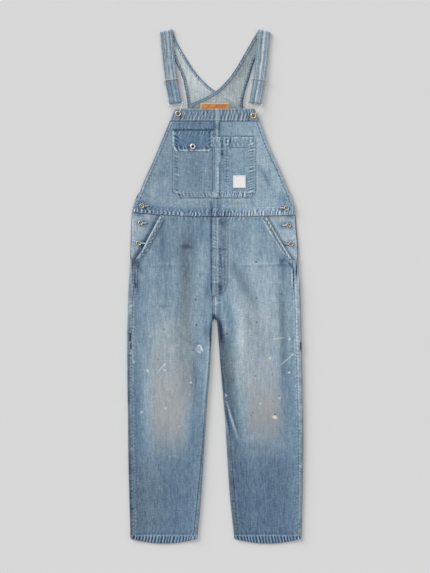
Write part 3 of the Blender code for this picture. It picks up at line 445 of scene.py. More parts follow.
def frontRelief(side, out, y, fromSeam, fromInseam):
    seed = 10 if side < 0 else 40
    wear = seamWear[side]
    below = 1 - ramp(y, 60, 84)
    legPart = ramp(-y, 70, 100)
    relief = pucker(fromSeam - 3, y, seed, pitch=11, reach=5, rise=0.25, tone=15) * below
    relief += line(fromSeam - 1.5, 1.9, wear["edge"], 0, y, seed + 1) * below
    relief += line(fromSeam - 7.5, 3.0, wear["hollow"], 0, y, seed + 8) * below
    relief += pucker(fromInseam - 4, y, seed + 2, pitch=11, reach=5, rise=0.22, tone=8) * legPart
    dark = 1 if side > 0 else 0.25 + 0.75 * ramp(-y, 330, 420)
    relief += line(fromInseam - 0.3, 1.7, -30, 0, y, seed + 3) * legPart * dark
    relief += line(fromInseam - 5, 2.4, wear["inner"], 0, y, seed + 9) * legPart
    relief += hemRelief(side, out, y, seed + 4)
    down = garment["waistY"] - y
    relief += pucker(down - 4, out, seed + 7, pitch=12, reach=7, rise=0.25, tone=24)
    # painted light along the fronts' top edge, which offsets the shadow of the waistband's edge
    relief += line(down, 2.6, 8) + line(down - 1.5, 2.4, 20, 0, out, seed + 18) * ramp(out, 60, 90)
    hip = ramp(y, -40, 10) * below
    relief += line(fromSeam + 0.5 + 1.2 * rope(y, seed + 15, 26), 3.0, -78, 0, y, seed + 13) * hip
    relief += line(fromSeam - 5.5, 2.0, 26, 0, y, seed + 14) * hip
    relief += line(fromSeam - 10, 2.0, -26, 0, y, seed + 16) * hip
    crotch = within(y, -92, -84, -34, -24)
    if side < 0:
        flySide = out - 7.4 - 4.6 * ramp(y, -28, 6)
        relief += line(flySide, 2.2, -96, 0, y, 31, rough=0.1) * ramp(y, -98, -88)
        relief += line(out - 4.6, 1.8, 34, 0, y, 32) * crotch
        relief += line(y + 50.5, 3.4, 60, 0, out, 35) * (1 - ramp(out, 9, 13))
        relief += line(fromInseam - 6, 6, 20) * bell(y + 215, 90)
    else:
        # painted light beside the fly's edge, which offsets the shadow that edge casts
        relief += line(out - flyEdge(y) - 2.5, 3, 10) * ramp(y, -26, -10)
        relief += (line(out - 1.0, 1.9, 40, 0, y, 33) + line(out - 12, 5, -26, 0, y, 34)) * crotch
        relief += line(y + 50.5, 3.4, 54, 0, out, 36) * (1 - ramp(out, 14, 18))
    return relief


def backRelief(side, out, y, fromSeam, fromInseam):
    seed = 70 if side < 0 else 90
    wear = seamWear[side]
    below = 1 - ramp(y, 60, 84)
    relief = pucker(fromSeam - 3, y, seed, pitch=10, reach=6, rise=0.3, tone=wear["pucker"]) * below
    relief += line(fromSeam, 1.5, -8) * below
    fade = below * (1 if side > 0 else 1 - 0.7 * ramp(y, -220, -60))
    relief += line(fromSeam - 2.5, 2.8, wear["ridge"], 0, y, seed + 6) * fade
    relief += line(fromSeam - 11, 5.5, wear["strip"]) * fade
    relief += line(fromSeam - 9, 7, 15) * rope(y, seed + 7, 30) * below
    relief += pucker(fromInseam - 3, y, seed + 2, pitch=10, reach=5, rise=0.25, tone=12)
    relief += line(fromInseam - 6, 6, wear["inseam"], 0, y, seed + 5)
    return relief + hemRelief(side, out, y, seed + 3)


def trunkFace(x, y):  # upper face of the fronts above the fork, with its puckers
    side = np.where(x < -between(legs[-1], "inner", y), -1, 1)
    faces = {}
    for which in (-1, 1):
        out = which * x
        fromSeam = between(legs[which], "outer", y) - out - between(legs[which], "outerSeam", y)
        relief = frontRelief(which, out, y, fromSeam, out + 60)
        faces[which] = np.array([legTop(which, out, y) + relief[0], legTone(which, out, y) + relief[1]])
    return np.where(side < 0, faces[-1], faces[1])


def gridArea(grid):
    a = grid[1:, 1:] - grid[:-1, :-1]
    b = grid[1:, :-1] - grid[:-1, 1:]
    return float(np.linalg.norm(np.cross(a, b), axis=2).sum() / 2)


def cloth(name, grid, tone, look, nodes, brown=0.0, grey=0.0, grow=1, wall=garment["wall"], allow=(0, 0)):
    # one piece of cloth, a Solidify wall grown up (1) or down (-1) from its grid, 0 for both ways
    tone = np.broadcast_to(tone, grid.shape[:2])
    brown = np.broadcast_to(brown, grid.shape[:2])
    grey = np.broadcast_to(grey, grid.shape[:2])
    if grid[0, 0, 0] > grid[0, -1, 0]:
        grid, tone, brown, grey = grid[:, ::-1], tone[:, ::-1], brown[:, ::-1], grey[:, ::-1]
    if grid[0, 0, 1] > grid[-1, 0, 1]:
        grid, tone, brown, grey = grid[::-1], tone[::-1], brown[::-1], grey[::-1]
    rows, columns = grid.shape[:2]
    index = np.arange(rows * columns).reshape(rows, columns)
    faces = np.stack([index[:-1, :-1], index[:-1, 1:], index[1:, 1:], index[1:, :-1]], axis=-1).reshape(-1, 4)
    piece = meshPiece(name, grid.reshape(-1, 3), faces, look)
    for key, values in (("tone", (tone - 60) / 160), ("brown", brown), ("grey", grey)):
        stored = piece.data.attributes.new(key, "FLOAT", "POINT")
        stored.data.foreach_set("value", np.ascontiguousarray(values, dtype=np.float32).ravel())
    solidify = piece.modifiers.new("cloth", "SOLIDIFY")
    solidify.thickness = wall * mm
    solidify.offset = grow
    solidify.use_even_offset = True
    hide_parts(*nodes)
    steps = np.linalg.norm(np.diff(grid, axis=1), axis=2).sum(axis=1)
    lengths = np.linalg.norm(np.diff(grid, axis=0), axis=2).sum(axis=0)
    width = float(steps.max()) + allow[0]
    length = float(lengths.max()) + allow[1]
    share = width * length / (float(steps.max()) * float(lengths.max()))
    area = min(gridArea(grid) * share, width * length)
    width * mm
    length * mm
    area * mm * mm
    return piece


def slantedCut(grid, wide, long):  # the smallest rectangle, at any slant, that a flat piece is cut from
    best = None
    for angle in np.radians(np.arange(-60, 61, 2)):
        across = grid[..., 0] * math.cos(angle) + grid[..., 1] * math.sin(angle)
        along = grid[..., 1] * math.cos(angle) - grid[..., 0] * math.sin(angle)
        size = (float(np.ptp(across)) + wide, float(np.ptp(along)) + long)
        if best is None or size[0] * size[1] < best[0] * best[1]:
            best = size
    area = min(gridArea(grid) * 1.25, best[0] * best[1])
    return best[0] * mm, best[1] * mm, area * mm * mm


def meshPiece(name, points, faces, look):
    mesh = bpy.data.meshes.new(name)
    mesh.vertices.add(len(points))
    mesh.vertices.foreach_set("co", (np.asarray(points, float) * mm).ravel())
    mesh.loops.add(faces.size)
    mesh.loops.foreach_set("vertex_index", faces.ravel())
    mesh.polygons.add(len(faces))
    mesh.polygons.foreach_set("loop_start", np.arange(len(faces)) * faces.shape[1])
    mesh.update(calc_edges=True)
    mesh.shade_smooth()
    piece = bpy.data.objects.new(name, mesh)
    bpy.context.scene.collection.objects.link(piece)
    mesh.materials.append(finishes[look]["material"])
    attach(piece, "root")
    return piece


def levelGrid(left, right, ys, columns):  # points straight across between two edges
    ys = np.asarray(ys, float)
    first = np.broadcast_to(left(ys) if callable(left) else left, ys.shape)
    last = np.broadcast_to(right(ys) if callable(right) else right, ys.shape)
    t = np.linspace(0, 1, columns)
    x = first[:, None] + (last - first)[:, None] * t
    return x, np.broadcast_to(ys[:, None], x.shape)


def raised(face, lift):
    return lambda x, y: face(x, y) + lift


def laid(name, x, y, face, lift, relief, tone, look, nodes, **options):
    # a piece laid on a face, with its own puckers
    z = face(x, y) + lift + relief[0]
    return cloth(name, np.stack([x, y, z], axis=-1), tone + relief[1], look, nodes, **options)


def evenSteps(low, high, most):
    return np.linspace(low, high, math.ceil((high - low) / most) + 1)


threads = {}  # for each group of stitches, the centres and directions of all its stitches
stitchLook = {"pitch": 3.4, "length": 2.7, "width": 0.85, "height": 0.32}


def stitchPath(group, points, pitch=None, length=None, width=None):
    points = np.asarray(points, float)
    steps = np.linalg.norm(np.diff(points, axis=0), axis=1)
    marks = np.concatenate([[0], np.cumsum(steps)])
    pitch = pitch or stitchLook["pitch"]
    length = length or stitchLook["length"]
    count = max(int(marks[-1] / pitch), 1)
    at = (np.arange(count) + 0.5) * marks[-1] / count
    centre = np.stack([np.interp(at, marks, points[:, k]) for k in range(3)], axis=1)
    ahead = np.stack([np.interp(at + length / 3, marks, points[:, k]) for k in range(3)], axis=1)
    behind = np.stack([np.interp(at - length / 3, marks, points[:, k]) for k in range(3)], axis=1)
    along = ahead - behind
    along /= np.linalg.norm(along, axis=1, keepdims=True)
    size = np.full(count, length)
    wide = np.full(count, width or stitchLook["width"])
    threads.setdefault(group, []).append((centre, along, size, wide))


def stitchOn(group, face, xy, **options):  # a row of stitches lying on a face
    xy = np.asarray(xy, float)
    marks = np.concatenate([[0], np.cumsum(np.linalg.norm(np.diff(xy, axis=0), axis=1))])
    at = np.linspace(0, marks[-1], max(int(marks[-1] / 1.7), 2))
    x = np.interp(at, marks, xy[:, 0])
    y = np.interp(at, marks, xy[:, 1])
    stitchPath(group, np.stack([x, y, face(x, y)], axis=1), **options)


def barTack(group, face, x, y, angle, length, width=2.4):  # a dense bar of cross stitches
    turn = math.radians(angle)
    count = int(length / 0.75)
    at = (np.arange(count) - (count - 1) / 2) * 0.75
    centreX = x + at * math.cos(turn)
    centreY = y + at * math.sin(turn)
    centre = np.stack([centreX, centreY, face(centreX, centreY) + 0.1], axis=1)
    skew = np.where(np.arange(count) % 2, 0.25, -0.25)
    along = np.stack([-np.sin(turn + skew), np.cos(turn + skew), skew * 0], axis=1)
    threads.setdefault(group, []).append((centre, along, np.full(count, width), np.full(count, 0.8)))


def makeStitches(group, name, look):
    centre, along, size, wide = (np.concatenate(column) for column in zip(*threads[group]))
    across = np.cross([0.0, 0.0, 1.0], along)
    across /= np.maximum(np.linalg.norm(across, axis=1, keepdims=True), 1e-6)
    up = np.cross(along, across)
    high = stitchLook["height"]
    corners = [(-0.5, 0, -0.4)]  # along, across and up, as shares of a stitch
    for place in (-0.27, 0.27):
        corners += [(place, -0.5, 0), (place, 0, 1), (place, 0.5, 0), (place, 0, -0.6)]
    corners.append((0.5, 0, -0.4))
    rows = []
    for a, b, c in corners:
        rows.append(centre + along * (a * size)[:, None] + across * (b * wide)[:, None] + up * (c * high))
    points = np.stack(rows, axis=1).reshape(-1, 3)
    faces = []
    for k in range(4):
        this, other = 1 + k, 1 + (k + 1) % 4
        faces += [(0, other, this), (this, other, other + 4), (this, other + 4, this + 4)]
        faces.append((9, this + 4, other + 4))
    every = (np.arange(len(centre)) * len(corners))[:, None, None] + np.array(faces)[None]
    meshPiece(name, points, every.reshape(-1, 3), look)


def paint(red, green, blue):  # a colour noted as 0 to 255, as the shader wants it
    shares = (red / 255, green / 255, blue / 255)
    return tuple(c / 12.92 if c < 0.04 else ((c + 0.055) / 1.055) ** 2.4 for c in shares) + (1.0,)


class Value:  # a socket that can be used in sums
    def __init__(self, finish, socket):
        self.finish = finish
        self.socket = socket

    def math(self, operation, first, second=0.0):
        return self.finish.node("Math", {"operation": operation}, {0: first, 1: second})

    def __add__(self, other):
        return self.math("ADD", self, other)

    def __radd__(self, other):
        return self.math("ADD", other, self)

    def __sub__(self, other):
        return self.math("SUBTRACT", self, other)

    def __rsub__(self, other):
        return self.math("SUBTRACT", other, self)

    def __mul__(self, other):
        return self.math("MULTIPLY", self, other)

    def __rmul__(self, other):
        return self.math("MULTIPLY", other, self)

    def top(self, other):
        return self.math("MAXIMUM", self, other)

    def sine(self):
        return self.math("SINE", self)


class Finish:  # one material and the nodes in it
    def __init__(self, name, fixed):
        self.material = bpy.data.materials.new(name)
        self.material.use_nodes = True
        self.tree = self.material.node_tree
        self.shader = self.tree.nodes["Principled BSDF"]
        for key, value in fixed.items():
            self.shader.inputs[key].default_value = value
        self.place = self.node("TexCoord", out="Object")

    def node(self, kind, settings=None, values=None, out=0):
        made = self.tree.nodes.new("ShaderNode" + kind)
        for key, value in (settings or {}).items():
            if key == "stops":
                elements = made.color_ramp.elements
                while len(elements) < len(value):
                    elements.new(0.5)
                for element, (position, colour) in zip(elements, value):
                    element.position = position
                    element.color = colour
            else:
                setattr(made, key, value)
        for key, value in (values or {}).items():
            if isinstance(value, Value):
                self.tree.links.new(value.socket, made.inputs[key])
            else:
                made.inputs[key].default_value = value
        return Value(self, made.outputs[out])

    def vector(self, operation, first, second, out=0):
        return self.node("VectorMath", {"operation": operation}, {0: first, 1: second}, out)

    def stretch(self, x, y, z):  # the place, in units of x, y and z millimetres
        return self.vector("MULTIPLY", self.place, (1000 / x, 1000 / y, 1000 / z))

    def noise(self, place, detail=2.0, roughness=0.5):
        return self.node("TexNoise", {}, {"Vector": place, "Scale": 1.0,
                                          "Detail": detail, "Roughness": roughness})

    def read(self, name):
        return self.node("Attribute", {"attribute_name": name}, out="Fac")

    def between(self, value, low, high, first=0.0, last=1.0):
        return self.node("MapRange", {"interpolation_type": "SMOOTHSTEP"},
                         {"Value": value, "From Min": low, "From Max": high, "To Min": first, "To Max": last})

    def blend(self, factor, first, second, how="MIX"):
        return self.node("Mix", {"data_type": "RGBA", "blend_type": how}, {0: factor, 6: first, 7: second}, 2)

    def ramp(self, value, stops):
        return self.node("ValToRGB", {"stops": stops}, {"Fac": value})

    def bump(self, height, distance, strength=1.0):
        return self.node("Bump", {}, {"Height": height, "Distance": distance * mm, "Strength": strength})

    def wear(self, colour, roughness=None, normal=None):
        for key, value in (("Base Color", colour), ("Roughness", roughness), ("Normal", normal)):
            if value is not None:
                self.tree.links.new(value.socket, self.shader.inputs[key])


finishes = {}


def keep(key, finish, slot):
    finishes[key] = {"material": finish.material, "slot": slot}


def denimTones(strength):  # grey level and colour, from unworn indigo to nearly white
    table = [
        (60, 19, 20), (90, 19, 21), (115, 19, 22), (140, 22, 18), (162, 21, 15), (185, 16, 11), (220, 11, 5),
    ]
    return [(level, (level - red * strength, level, level + blue * strength)) for level, red, blue in table]


insideTones = [
    (60, (70, 84, 98)), (120, (111, 122, 128)), (150, (141, 151, 153)), (175, (166, 177, 180)),
    (200, (191, 201, 204)), (220, (215, 221, 222)),
]
greyTones = [
    (60, (50, 60, 68)), (90, (72, 90, 101)), (140, (125, 140, 147)), (165, (151, 165, 172)),
    (185, (172, 185, 191)), (220, (214, 220, 222)),
]
brownTones = [(60, (63, 59, 55)), (160, (163, 158, 154)), (220, (222, 216, 208))]
denimLook = {
    "lift": 1.12,            # how much brighter the cloth is dyed than its grey levels, under the light here
    "wale": 0.95,            # one twill line, mm
    "twill": 0.012,          # how much the twill lines show
    "streak": 28.0,          # grey levels of the long warp streaks
    "slub": 66.0,            # of the short slubs
    "weft": 48.0,            # of the short crosswise threads
    "grain": 46.0,           # of the fine grain
    "mottle": 20.0,          # of the soft blotches a finger wide
    "cloud": 16.0,           # and of the broad ones
}


def toneStops(tones, lift):
    stops = []
    for level, colour in tones:
        lifted = [min(c * lift, 0.95) for c in paint(*colour)[:3]]
        stops.append(((level - 60) / 160, (*lifted, 1.0)))
    return stops


def denimFinish(key, tones, slot, look=denimLook, marks=(), fleck=0.0):
    finish = Finish(key, {"Specular IOR Level": 0.18, "Sheen Weight": 0.08, "Sheen Roughness": 0.5})
    split = finish.node("SeparateXYZ", {}, {0: finish.place})
    x = split
    y = Value(finish, split.socket.node.outputs[1])
    wale = ((x * 0.83 + y * 0.56) * (2 * math.pi / (look["wale"] * mm))).sine()
    cloud = finish.noise(finish.stretch(34, 46, 34), detail=3)
    patterns = {
        "streak": finish.noise(finish.stretch(7, 90, 7), detail=3),
        "slub": finish.noise(finish.stretch(3.0, 24, 3.0), detail=2),
        "weft": finish.noise(finish.stretch(10, 2.8, 4), detail=2),
        "grain": finish.noise(finish.stretch(3.4, 4.0, 3.4), detail=2, roughness=0.7),
        "mottle": finish.noise(finish.stretch(9, 14, 9), detail=3),
        "cloud": cloud,
    }
    uneven = wale * look["twill"]
    for kind, pattern in patterns.items():
        uneven = uneven + (pattern - 0.5) * (look[kind] / 160)
    tone = finish.read("tone") + uneven * (1 - finish.read("brown") * 0.45)
    grain = patterns["grain"]
    if fleck:
        tone = tone - finish.between(finish.noise(finish.stretch(1.6, 2.4, 1.6), detail=1), 0.6, 0.72) * fleck
    colour = finish.ramp(tone, toneStops(tones, look["lift"]))
    colour = finish.blend(finish.read("grey"), colour, finish.ramp(tone, toneStops(greyTones, look["lift"])))
    brown = finish.read("brown") * (cloud * 0.5 + 0.34)
    colour = finish.blend(brown, colour, finish.ramp(tone, toneStops(brownTones, look["lift"])))
    for group in marks:
        colour = markLayer(finish, colour, grain, group)
    height = wale * 0.2 + patterns["slub"] * 0.5 + grain * 0.8 + patterns["weft"] * 0.4
    finish.wear(colour, finish.between(cloud, 0.2, 0.8, 0.82, 0.94), finish.bump(height, 0.35, 0.7))
    keep(key, finish, slot)


def markLayer(finish, colour, grain, group):  # spots and splashes of one colour
    look, spots = group
    flat = finish.vector("MULTIPLY", finish.place, (1.0, 1.0, 0.0))
    wander = finish.node("TexNoise", {}, {"Vector": flat, "Scale": 260.0, "Detail": 2.0}, "Color")
    wander = finish.vector("SUBTRACT", wander, (0.5, 0.5, 0.5))
    wander = finish.vector("MULTIPLY", wander, (look["ragged"] * mm, look["ragged"] * mm, 0.0))
    flat = finish.vector("ADD", flat, wander)
    mask = None
    for spot in spots:
        turned = flat
        if spot.length != spot.width:
            turned = finish.node("Mapping", {"vector_type": "TEXTURE"},
                                 {"Vector": flat, "Location": (spot.x * mm, spot.y * mm, 0.0),
                                  "Rotation": (0.0, 0.0, math.radians(spot.angle)),
                                  "Scale": (spot.length / spot.width, 1.0, 1.0)})
            centre = (0.0, 0.0, 0.0)
        else:
            centre = (spot.x * mm, spot.y * mm, 0.0)
        away = finish.vector("DISTANCE", turned, centre, "Value")
        near = finish.between(away, spot.width * 0.25 * mm, spot.width * 0.75 * mm, spot.strength, 0.0)
        mask = near if mask is None else mask.top(near)
    mask = mask * (grain * look["grain"] + (1 - look["grain"] / 2))
    return finish.blend(mask, colour, paint(*look["colour"]))


Spot = namedtuple("Spot", "x y length width angle strength")
darkSpots = {"colour": (52, 66, 84), "ragged": 3.0, "grain": 0.4}
paleSpots = {"colour": (222, 228, 230), "ragged": 4.0, "grain": 0.8}
yellowSpots = {"colour": (240, 234, 200), "ragged": 4.0, "grain": 0.3}
marks = {
    -1: [
        (darkSpots, rowsOf(Spot,
            (-87, 119, 32, 14, -4, 0.62), (-155, -60, 25, 11, 0, 0.26), (-59, -40, 5.5, 5.5, 0, 0.7),
            (-154, -129, 5, 5, 0, 0.6), (-56, -116, 6, 6, 0, 0.75), (-67, -191, 5.5, 5.5, 0, 0.6),
            (-69, -297, 4.5, 4.5, 0, 0.55), (-120, 40, 5, 5, 0, 0.25), (-170, -220, 4, 4, 0, 0.4))),
        (paleSpots, rowsOf(Spot,
            (-41, -187, 19, 6, -68, 0.95), (-49, -178, 12, 5, 12, 0.75), (-49, -197, 13, 5, -16, 0.7),
            (-49, -188, 17, 16, 0, 0.3), (-244, -228, 6, 6, 0, 0.8), (-203, -253, 8, 8, 0, 0.75),
            (-150, -252, 7, 7, 0, 0.6), (-72, -289, 6, 6, 0, 0.65), (-221, -378, 7, 7, 0, 0.7),
            (-148, -366, 8, 8, 0, 0.6), (-137, -511, 5, 5, 0, 0.4), (-162, -246, 34, 3.6, -128, 0.75),
            (-152, -236, 9, 5, -110, 0.9), (-153, -252, 12, 3.5, -60, 0.6),
            (-108, -420, 5, 5, 0, 0.5), (-196, -150, 5, 5, 0, 0.45), (-178, -330, 4, 4, 0, 0.5))),
    ],
    1: [
        (darkSpots, rowsOf(Spot,
            (123, 73, 6, 6, 0, 0.7), (124, -36, 5.5, 5.5, 0, 0.7), (199, -24, 6, 6, 0, 0.6),
            (125, -108, 5, 5, 0, 0.6), (35, -143, 6, 6, 0, 0.7), (120, -269, 5.5, 5.5, 0, 0.6),
            (171, -265, 5, 5, 0, 0.5), (180, -384, 6, 5, 0, 0.6), (109, -388, 5, 5, 0, 0.5),
            (56, -280, 5.5, 5.5, 0, 0.55), (192, -329, 5, 5, 0, 0.5), (113, -380, 4.5, 4.5, 0, 0.5),
            (160, -190, 4, 4, 0, 0.35))),
        (paleSpots, rowsOf(Spot,
            (223, -159, 6, 6, 0, 0.75), (222, -259, 7, 7, 0, 0.7), (193, -336, 7, 7, 0, 0.6),
            (135, -352, 7, 7, 0, 0.6), (32, -327, 8, 8, 0, 0.65), (188, -157, 40, 2.8, 8, 0.7),
            (213, -222, 54, 2.8, 42, 0.55), (231, -206, 9, 5, 42, 0.7), (240, -300, 5, 5, 0, 0.5),
            (90, -430, 5, 5, 0, 0.45))),
        (yellowSpots, rowsOf(Spot, (179, -393, 14, 9, -25, 0.95), (165, -216, 7, 7, 0, 0.7))),
    ],
}
bibMarks = [({"colour": (150, 158, 120), "ragged": 6.0, "grain": 0.7}, rowsOf(Spot,
    (59, 249, 44, 8, 0, 0.5)))]

bibLook = {**denimLook, "weft": 62.0, "grain": 64.0}
denimFinish("denimLegLeft", denimTones(1.12), "denim", marks=marks[-1])
denimFinish("denimLegRight", denimTones(1.12), "denim", marks=marks[1])
denimFinish("denimBibLeft", denimTones(1.02), "denim", bibLook, bibMarks)
denimFinish("denimBibRight", denimTones(1.16), "denim", bibLook, bibMarks)
denimFinish("denim", denimTones(1.0), "denim")
denimFinish("denimStrap", denimTones(1.05), "denim")
denimFinish("denimFlap", denimTones(1.25), "dark_denim", bibLook)
denimFinish("denimInside", insideTones, "denim_wrong_side", fleck=0.1)


def threadFinish(key, colour, slot="thread"):
    finish = Finish(key, {"Specular IOR Level": 0.25, "Sheen Weight": 0.1})
    uneven = finish.noise(finish.stretch(6, 6, 6), detail=3)
    twist = finish.noise(finish.stretch(0.5, 0.5, 0.5), detail=1)
    dark = paint(*(0.72 * c for c in colour))
    base = finish.blend(finish.between(uneven, 0.35, 0.65), dark, paint(*colour))
    finish.wear(base, finish.between(twist, 0.3, 0.7, 0.7, 0.9), finish.bump(twist, 0.15, 0.6))
    keep(key, finish, slot)


threadFinish("threadPale", (190, 210, 224))
threadFinish("threadBlue", (140, 164, 186))
threadFinish("threadNavy", (56, 72, 100))
threadFinish("threadWhite", (236, 244, 248))


def leatherFinish():
    look = {"colour": (226, 152, 66), "deep": (196, 110, 40), "rim": (236, 184, 96), "pore": 1.1}
    finish = Finish("leather", {"Specular IOR Level": 0.45, "Coat Weight": 0.05})
    pores = finish.node("TexVoronoi", {"feature": "DISTANCE_TO_EDGE"},
                        {"Vector": finish.stretch(look["pore"], look["pore"], look["pore"]), "Scale": 1.0})
    tanned = finish.noise(finish.stretch(14, 6, 14), detail=4)
    edge = finish.read("tone")
    colour = finish.blend(finish.between(tanned, 0.35, 0.7), paint(*look["deep"]), paint(*look["colour"]))
    colour = finish.blend(finish.between(edge + (tanned - 0.5) * 0.8, 0.1, 0.9), paint(*look["rim"]), colour)
    grain = finish.between(pores, 0.0, 0.25)
    rough = finish.between(tanned, 0.3, 0.7, 0.5, 0.68)
    finish.wear(colour, rough, finish.bump(grain + tanned * 0.5, 0.12, 0.6))
    keep("leather", finish, "leather")


def labelFinish():
    look = {"colour": (253, 252, 250), "shade": (250, 248, 245), "rib": 0.8}
    finish = Finish("labelCloth", {"Specular IOR Level": 0.2, "Sheen Weight": 0.1})
    split = finish.node("SeparateXYZ", {}, {0: finish.place})
    ribs = (Value(finish, split.socket.node.outputs[1]) * (2 * math.pi / (look["rib"] * mm))).sine()
    soil = finish.noise(finish.stretch(9, 9, 9), detail=4)
    colour = finish.blend(finish.between(soil, 0.3, 0.75), paint(*look["colour"]), paint(*look["shade"]))
    colour = finish.blend((1 - finish.read("tone")) * 0.5, colour, paint(*look["shade"]))
    finish.wear(colour, finish.between(soil, 0.3, 0.7, 0.7, 0.85), finish.bump(ribs + soil, 0.1, 0.6))
    keep("label", finish, "label_cloth")


def metalFinish(key, slot, bright, worn, deep=None, low=0.24, high=0.5):
    finish = Finish(key, {"Metallic": 1.0, "Specular IOR Level": 0.5})
    tarnish = finish.noise(finish.stretch(2.4, 2.4, 2.4), detail=4, roughness=0.6)
    scratch = finish.noise(finish.stretch(0.35, 4, 0.35), detail=2)
    patch = finish.between(tarnish, 0.42, 0.62)
    colour = finish.blend(patch, paint(*bright), paint(*worn))
    if deep:  # painted shade and grime down in a button's hollows
        shown = finish.between(finish.read("tone") + (tarnish - 0.5) * 0.5, 0.15, 0.75)
        colour = finish.blend(shown, paint(*deep), colour)
    rough = finish.between(tarnish, 0.3, 0.7, low, high)
    finish.wear(colour, rough, finish.bump(scratch + tarnish, 0.05, 0.5))
    keep(key, finish, slot)


leatherFinish()
labelFinish()
metalFinish("steel", "steel", (226, 225, 224), (200, 198, 195), low=0.5, high=0.68)
metalFinish("silver", "steel", (250, 249, 246), (206, 204, 198), (40, 44, 52))
metalFinish("brass", "brass", (242, 238, 230), (190, 178, 158), (132, 106, 76))
metalFinish("copper", "copper", (238, 236, 222), (180, 174, 156), (92, 84, 74), low=0.4, high=0.6)
print("finishes made")


def legAt(side, key, y):  # one number of a leg's table
    return float(between(legs[side], key, y))


def acrossLeg(side, y, height, count=150):  # (outward, height) over a leg from its outer side to its inner
    edge, outer, inner = (legAt(side, key, y) for key in ("edge", "outer", "inner"))
    arc = edge * (1 - np.cos(np.radians(np.arange(0, 91, 6))))
    span = np.linspace(edge, outer - inner - edge, count)[1:-1]
    far = outer - inner - arc[::-1]
    out = outer - np.concatenate([arc, span, far])
    return np.stack([out, height(side, out, np.full(out.shape, y))], axis=1)


def marksOf(path):
    return np.concatenate([[0], np.cumsum(np.linalg.norm(np.diff(path, axis=0), axis=1))])


def pathAt(path, marks, at):
    return np.stack([np.interp(at, marks, path[:, 0]), np.interp(at, marks, path[:, 1])], axis=1)


def legYs(step):
    return np.concatenate([evenSteps(-757, 76, step), [77.5, 79, 80.5, 82, 84, 86], evenSteps(88, 208, step)])


frontLook = {"step": 2.9, "columns": 100, "allow": (20, 40)}
backLook = {"step": 4.4, "allow": (20, 40)}


def seamMarks(side, y, path, marks):  # where along the path a front starts and stops
    start = legAt(side, "outerSeam", y) + garment["seamGap"]
    if y >= pocketRows[0].y:
        opening = float(pocketLine(side, y))
        start = float(np.interp(-opening, -path[:, 0], marks))
    gap = garment["seamGap"] if legAt(side, "fork", y) > 0 else 0
    return start, marks[-1] - legAt(side, "innerSeam", y) - gap


def makeFront(side):
    rows, tones, browns, greys = [], [], [], []
    for y in legYs(frontLook["step"]):
        path = acrossLeg(side, y, legTop)
        marks = marksOf(path)
        start, stop = seamMarks(side, y, path, marks)
        t = np.linspace(0, 1, frontLook["columns"])
        place = start + (stop - start) * (t - 0.035 * np.sin(2 * math.pi * t))
        out, z = pathAt(path, marks, place).T
        relief = frontRelief(side, out, np.full(out.shape, y), place - start, stop - place)
        if y >= pocketRows[0].y:
            relief = relief + line(place - start, 2.0, 22, 0, y + place * 0, 5)
        end = 0.3 if y == garment["waistY"] else 0.0
        rows.append(np.stack([side * out, bowed(out, y, side) - end, z + relief[0]], axis=1))
        tones.append(legTone(side, out, y) + relief[1])
        browns.append(legBrown(side, out, y))
        greys.append(legGrey(side, out, y))
    cloth("frontLeg" + sides[side], np.array(rows), np.array(tones), "denimLeg" + sides[side],
          ["front_leg_" + sides[side].lower()], brown=np.array(browns), grey=np.array(greys),
          grow=-1, allow=frontLook["allow"])


def makeBack(side):
    rows, tones = [], []
    for y in legYs(backLook["step"]):
        over = acrossLeg(side, y, legTop)
        under = acrossLeg(side, y, legUnder)
        marks = marksOf(over)
        outerSeam, innerSeam = legAt(side, "outerSeam", y), legAt(side, "innerSeam", y)
        path, overlap, tail = under, 0.0, 0.0
        if outerSeam > 0.3:
            overlap = outerSeam - garment["seamGap"]
            top = pathAt(over, marks, np.linspace(overlap, 0, 16)[:-1])
            path = np.concatenate([top, path])
        if innerSeam > 0.3:
            tail = innerSeam - garment["seamGap"]
            top = pathAt(over, marks, np.linspace(marks[-1], marks[-1] - tail, 16)[1:])
            path = np.concatenate([path, top])
        marks = marksOf(path)
        inside = np.linspace(30, marks[-1] - 30, 36)
        place = np.concatenate([np.linspace(0, 30, 23)[:-1], inside, marks[-1] - np.linspace(30, 0, 21)[1:]])
        out, z = pathAt(path, marks, place).T
        onTop = (place < overlap) | (place > marks[-1] - tail)
        relief = backRelief(side, out, np.full(out.shape, y), place, marks[-1] - place)
        lift = relief[0] * ramp(z, 1.5, 5.0)
        tone = legTone(side, out, np.full(out.shape, y)) + relief[1]
        tone = np.where(onTop, tone, tone * 0.55 + 62 - 18 * ramp(np.abs(out - 130), 60, 120))
        end = 0.3 if y == garment["waistY"] else 0.0
        rows.append(np.stack([side * out, bowed(out, y, side) - end, z + lift], axis=1))
        tones.append(tone)
    cloth("backLeg" + sides[side], np.array(rows), np.array(tones), "denim",
          ["back_leg_" + sides[side].lower()], brown=0.06, grey=0.3, allow=backLook["allow"])


facing = {
    "underlap": 22.0, "drop": layer + 0.2, "columns": 30, "tone": {-1: 168, 1: 172},
    "shade": {-1: (4.5, 9, -68), 1: (3, 4.5, -40)},  # under the band: distance, width and grey levels
}
hipBand = {
    "width": 15.0, "lift": garment["gap"] + 0.25, "tone": {-1: 74, 1: 78},
    "rim": {-1: (2.4, 62), 1: (2.8, 96)},  # the pale turned edge: width and grey levels
}


def buttonShade(x, y):  # painted shade: dark outlines about the side buttons and their buttonholes
    total = 0 * x
    for side in (-1, 1):
        for buttonX, buttonY in sideButtons[side]:
            away = ((x - buttonX + side * 9) / 13) ** 2 + ((y - buttonY) / 6.5) ** 2
            total = total - 30 * away * np.exp(1 - away)
    return total


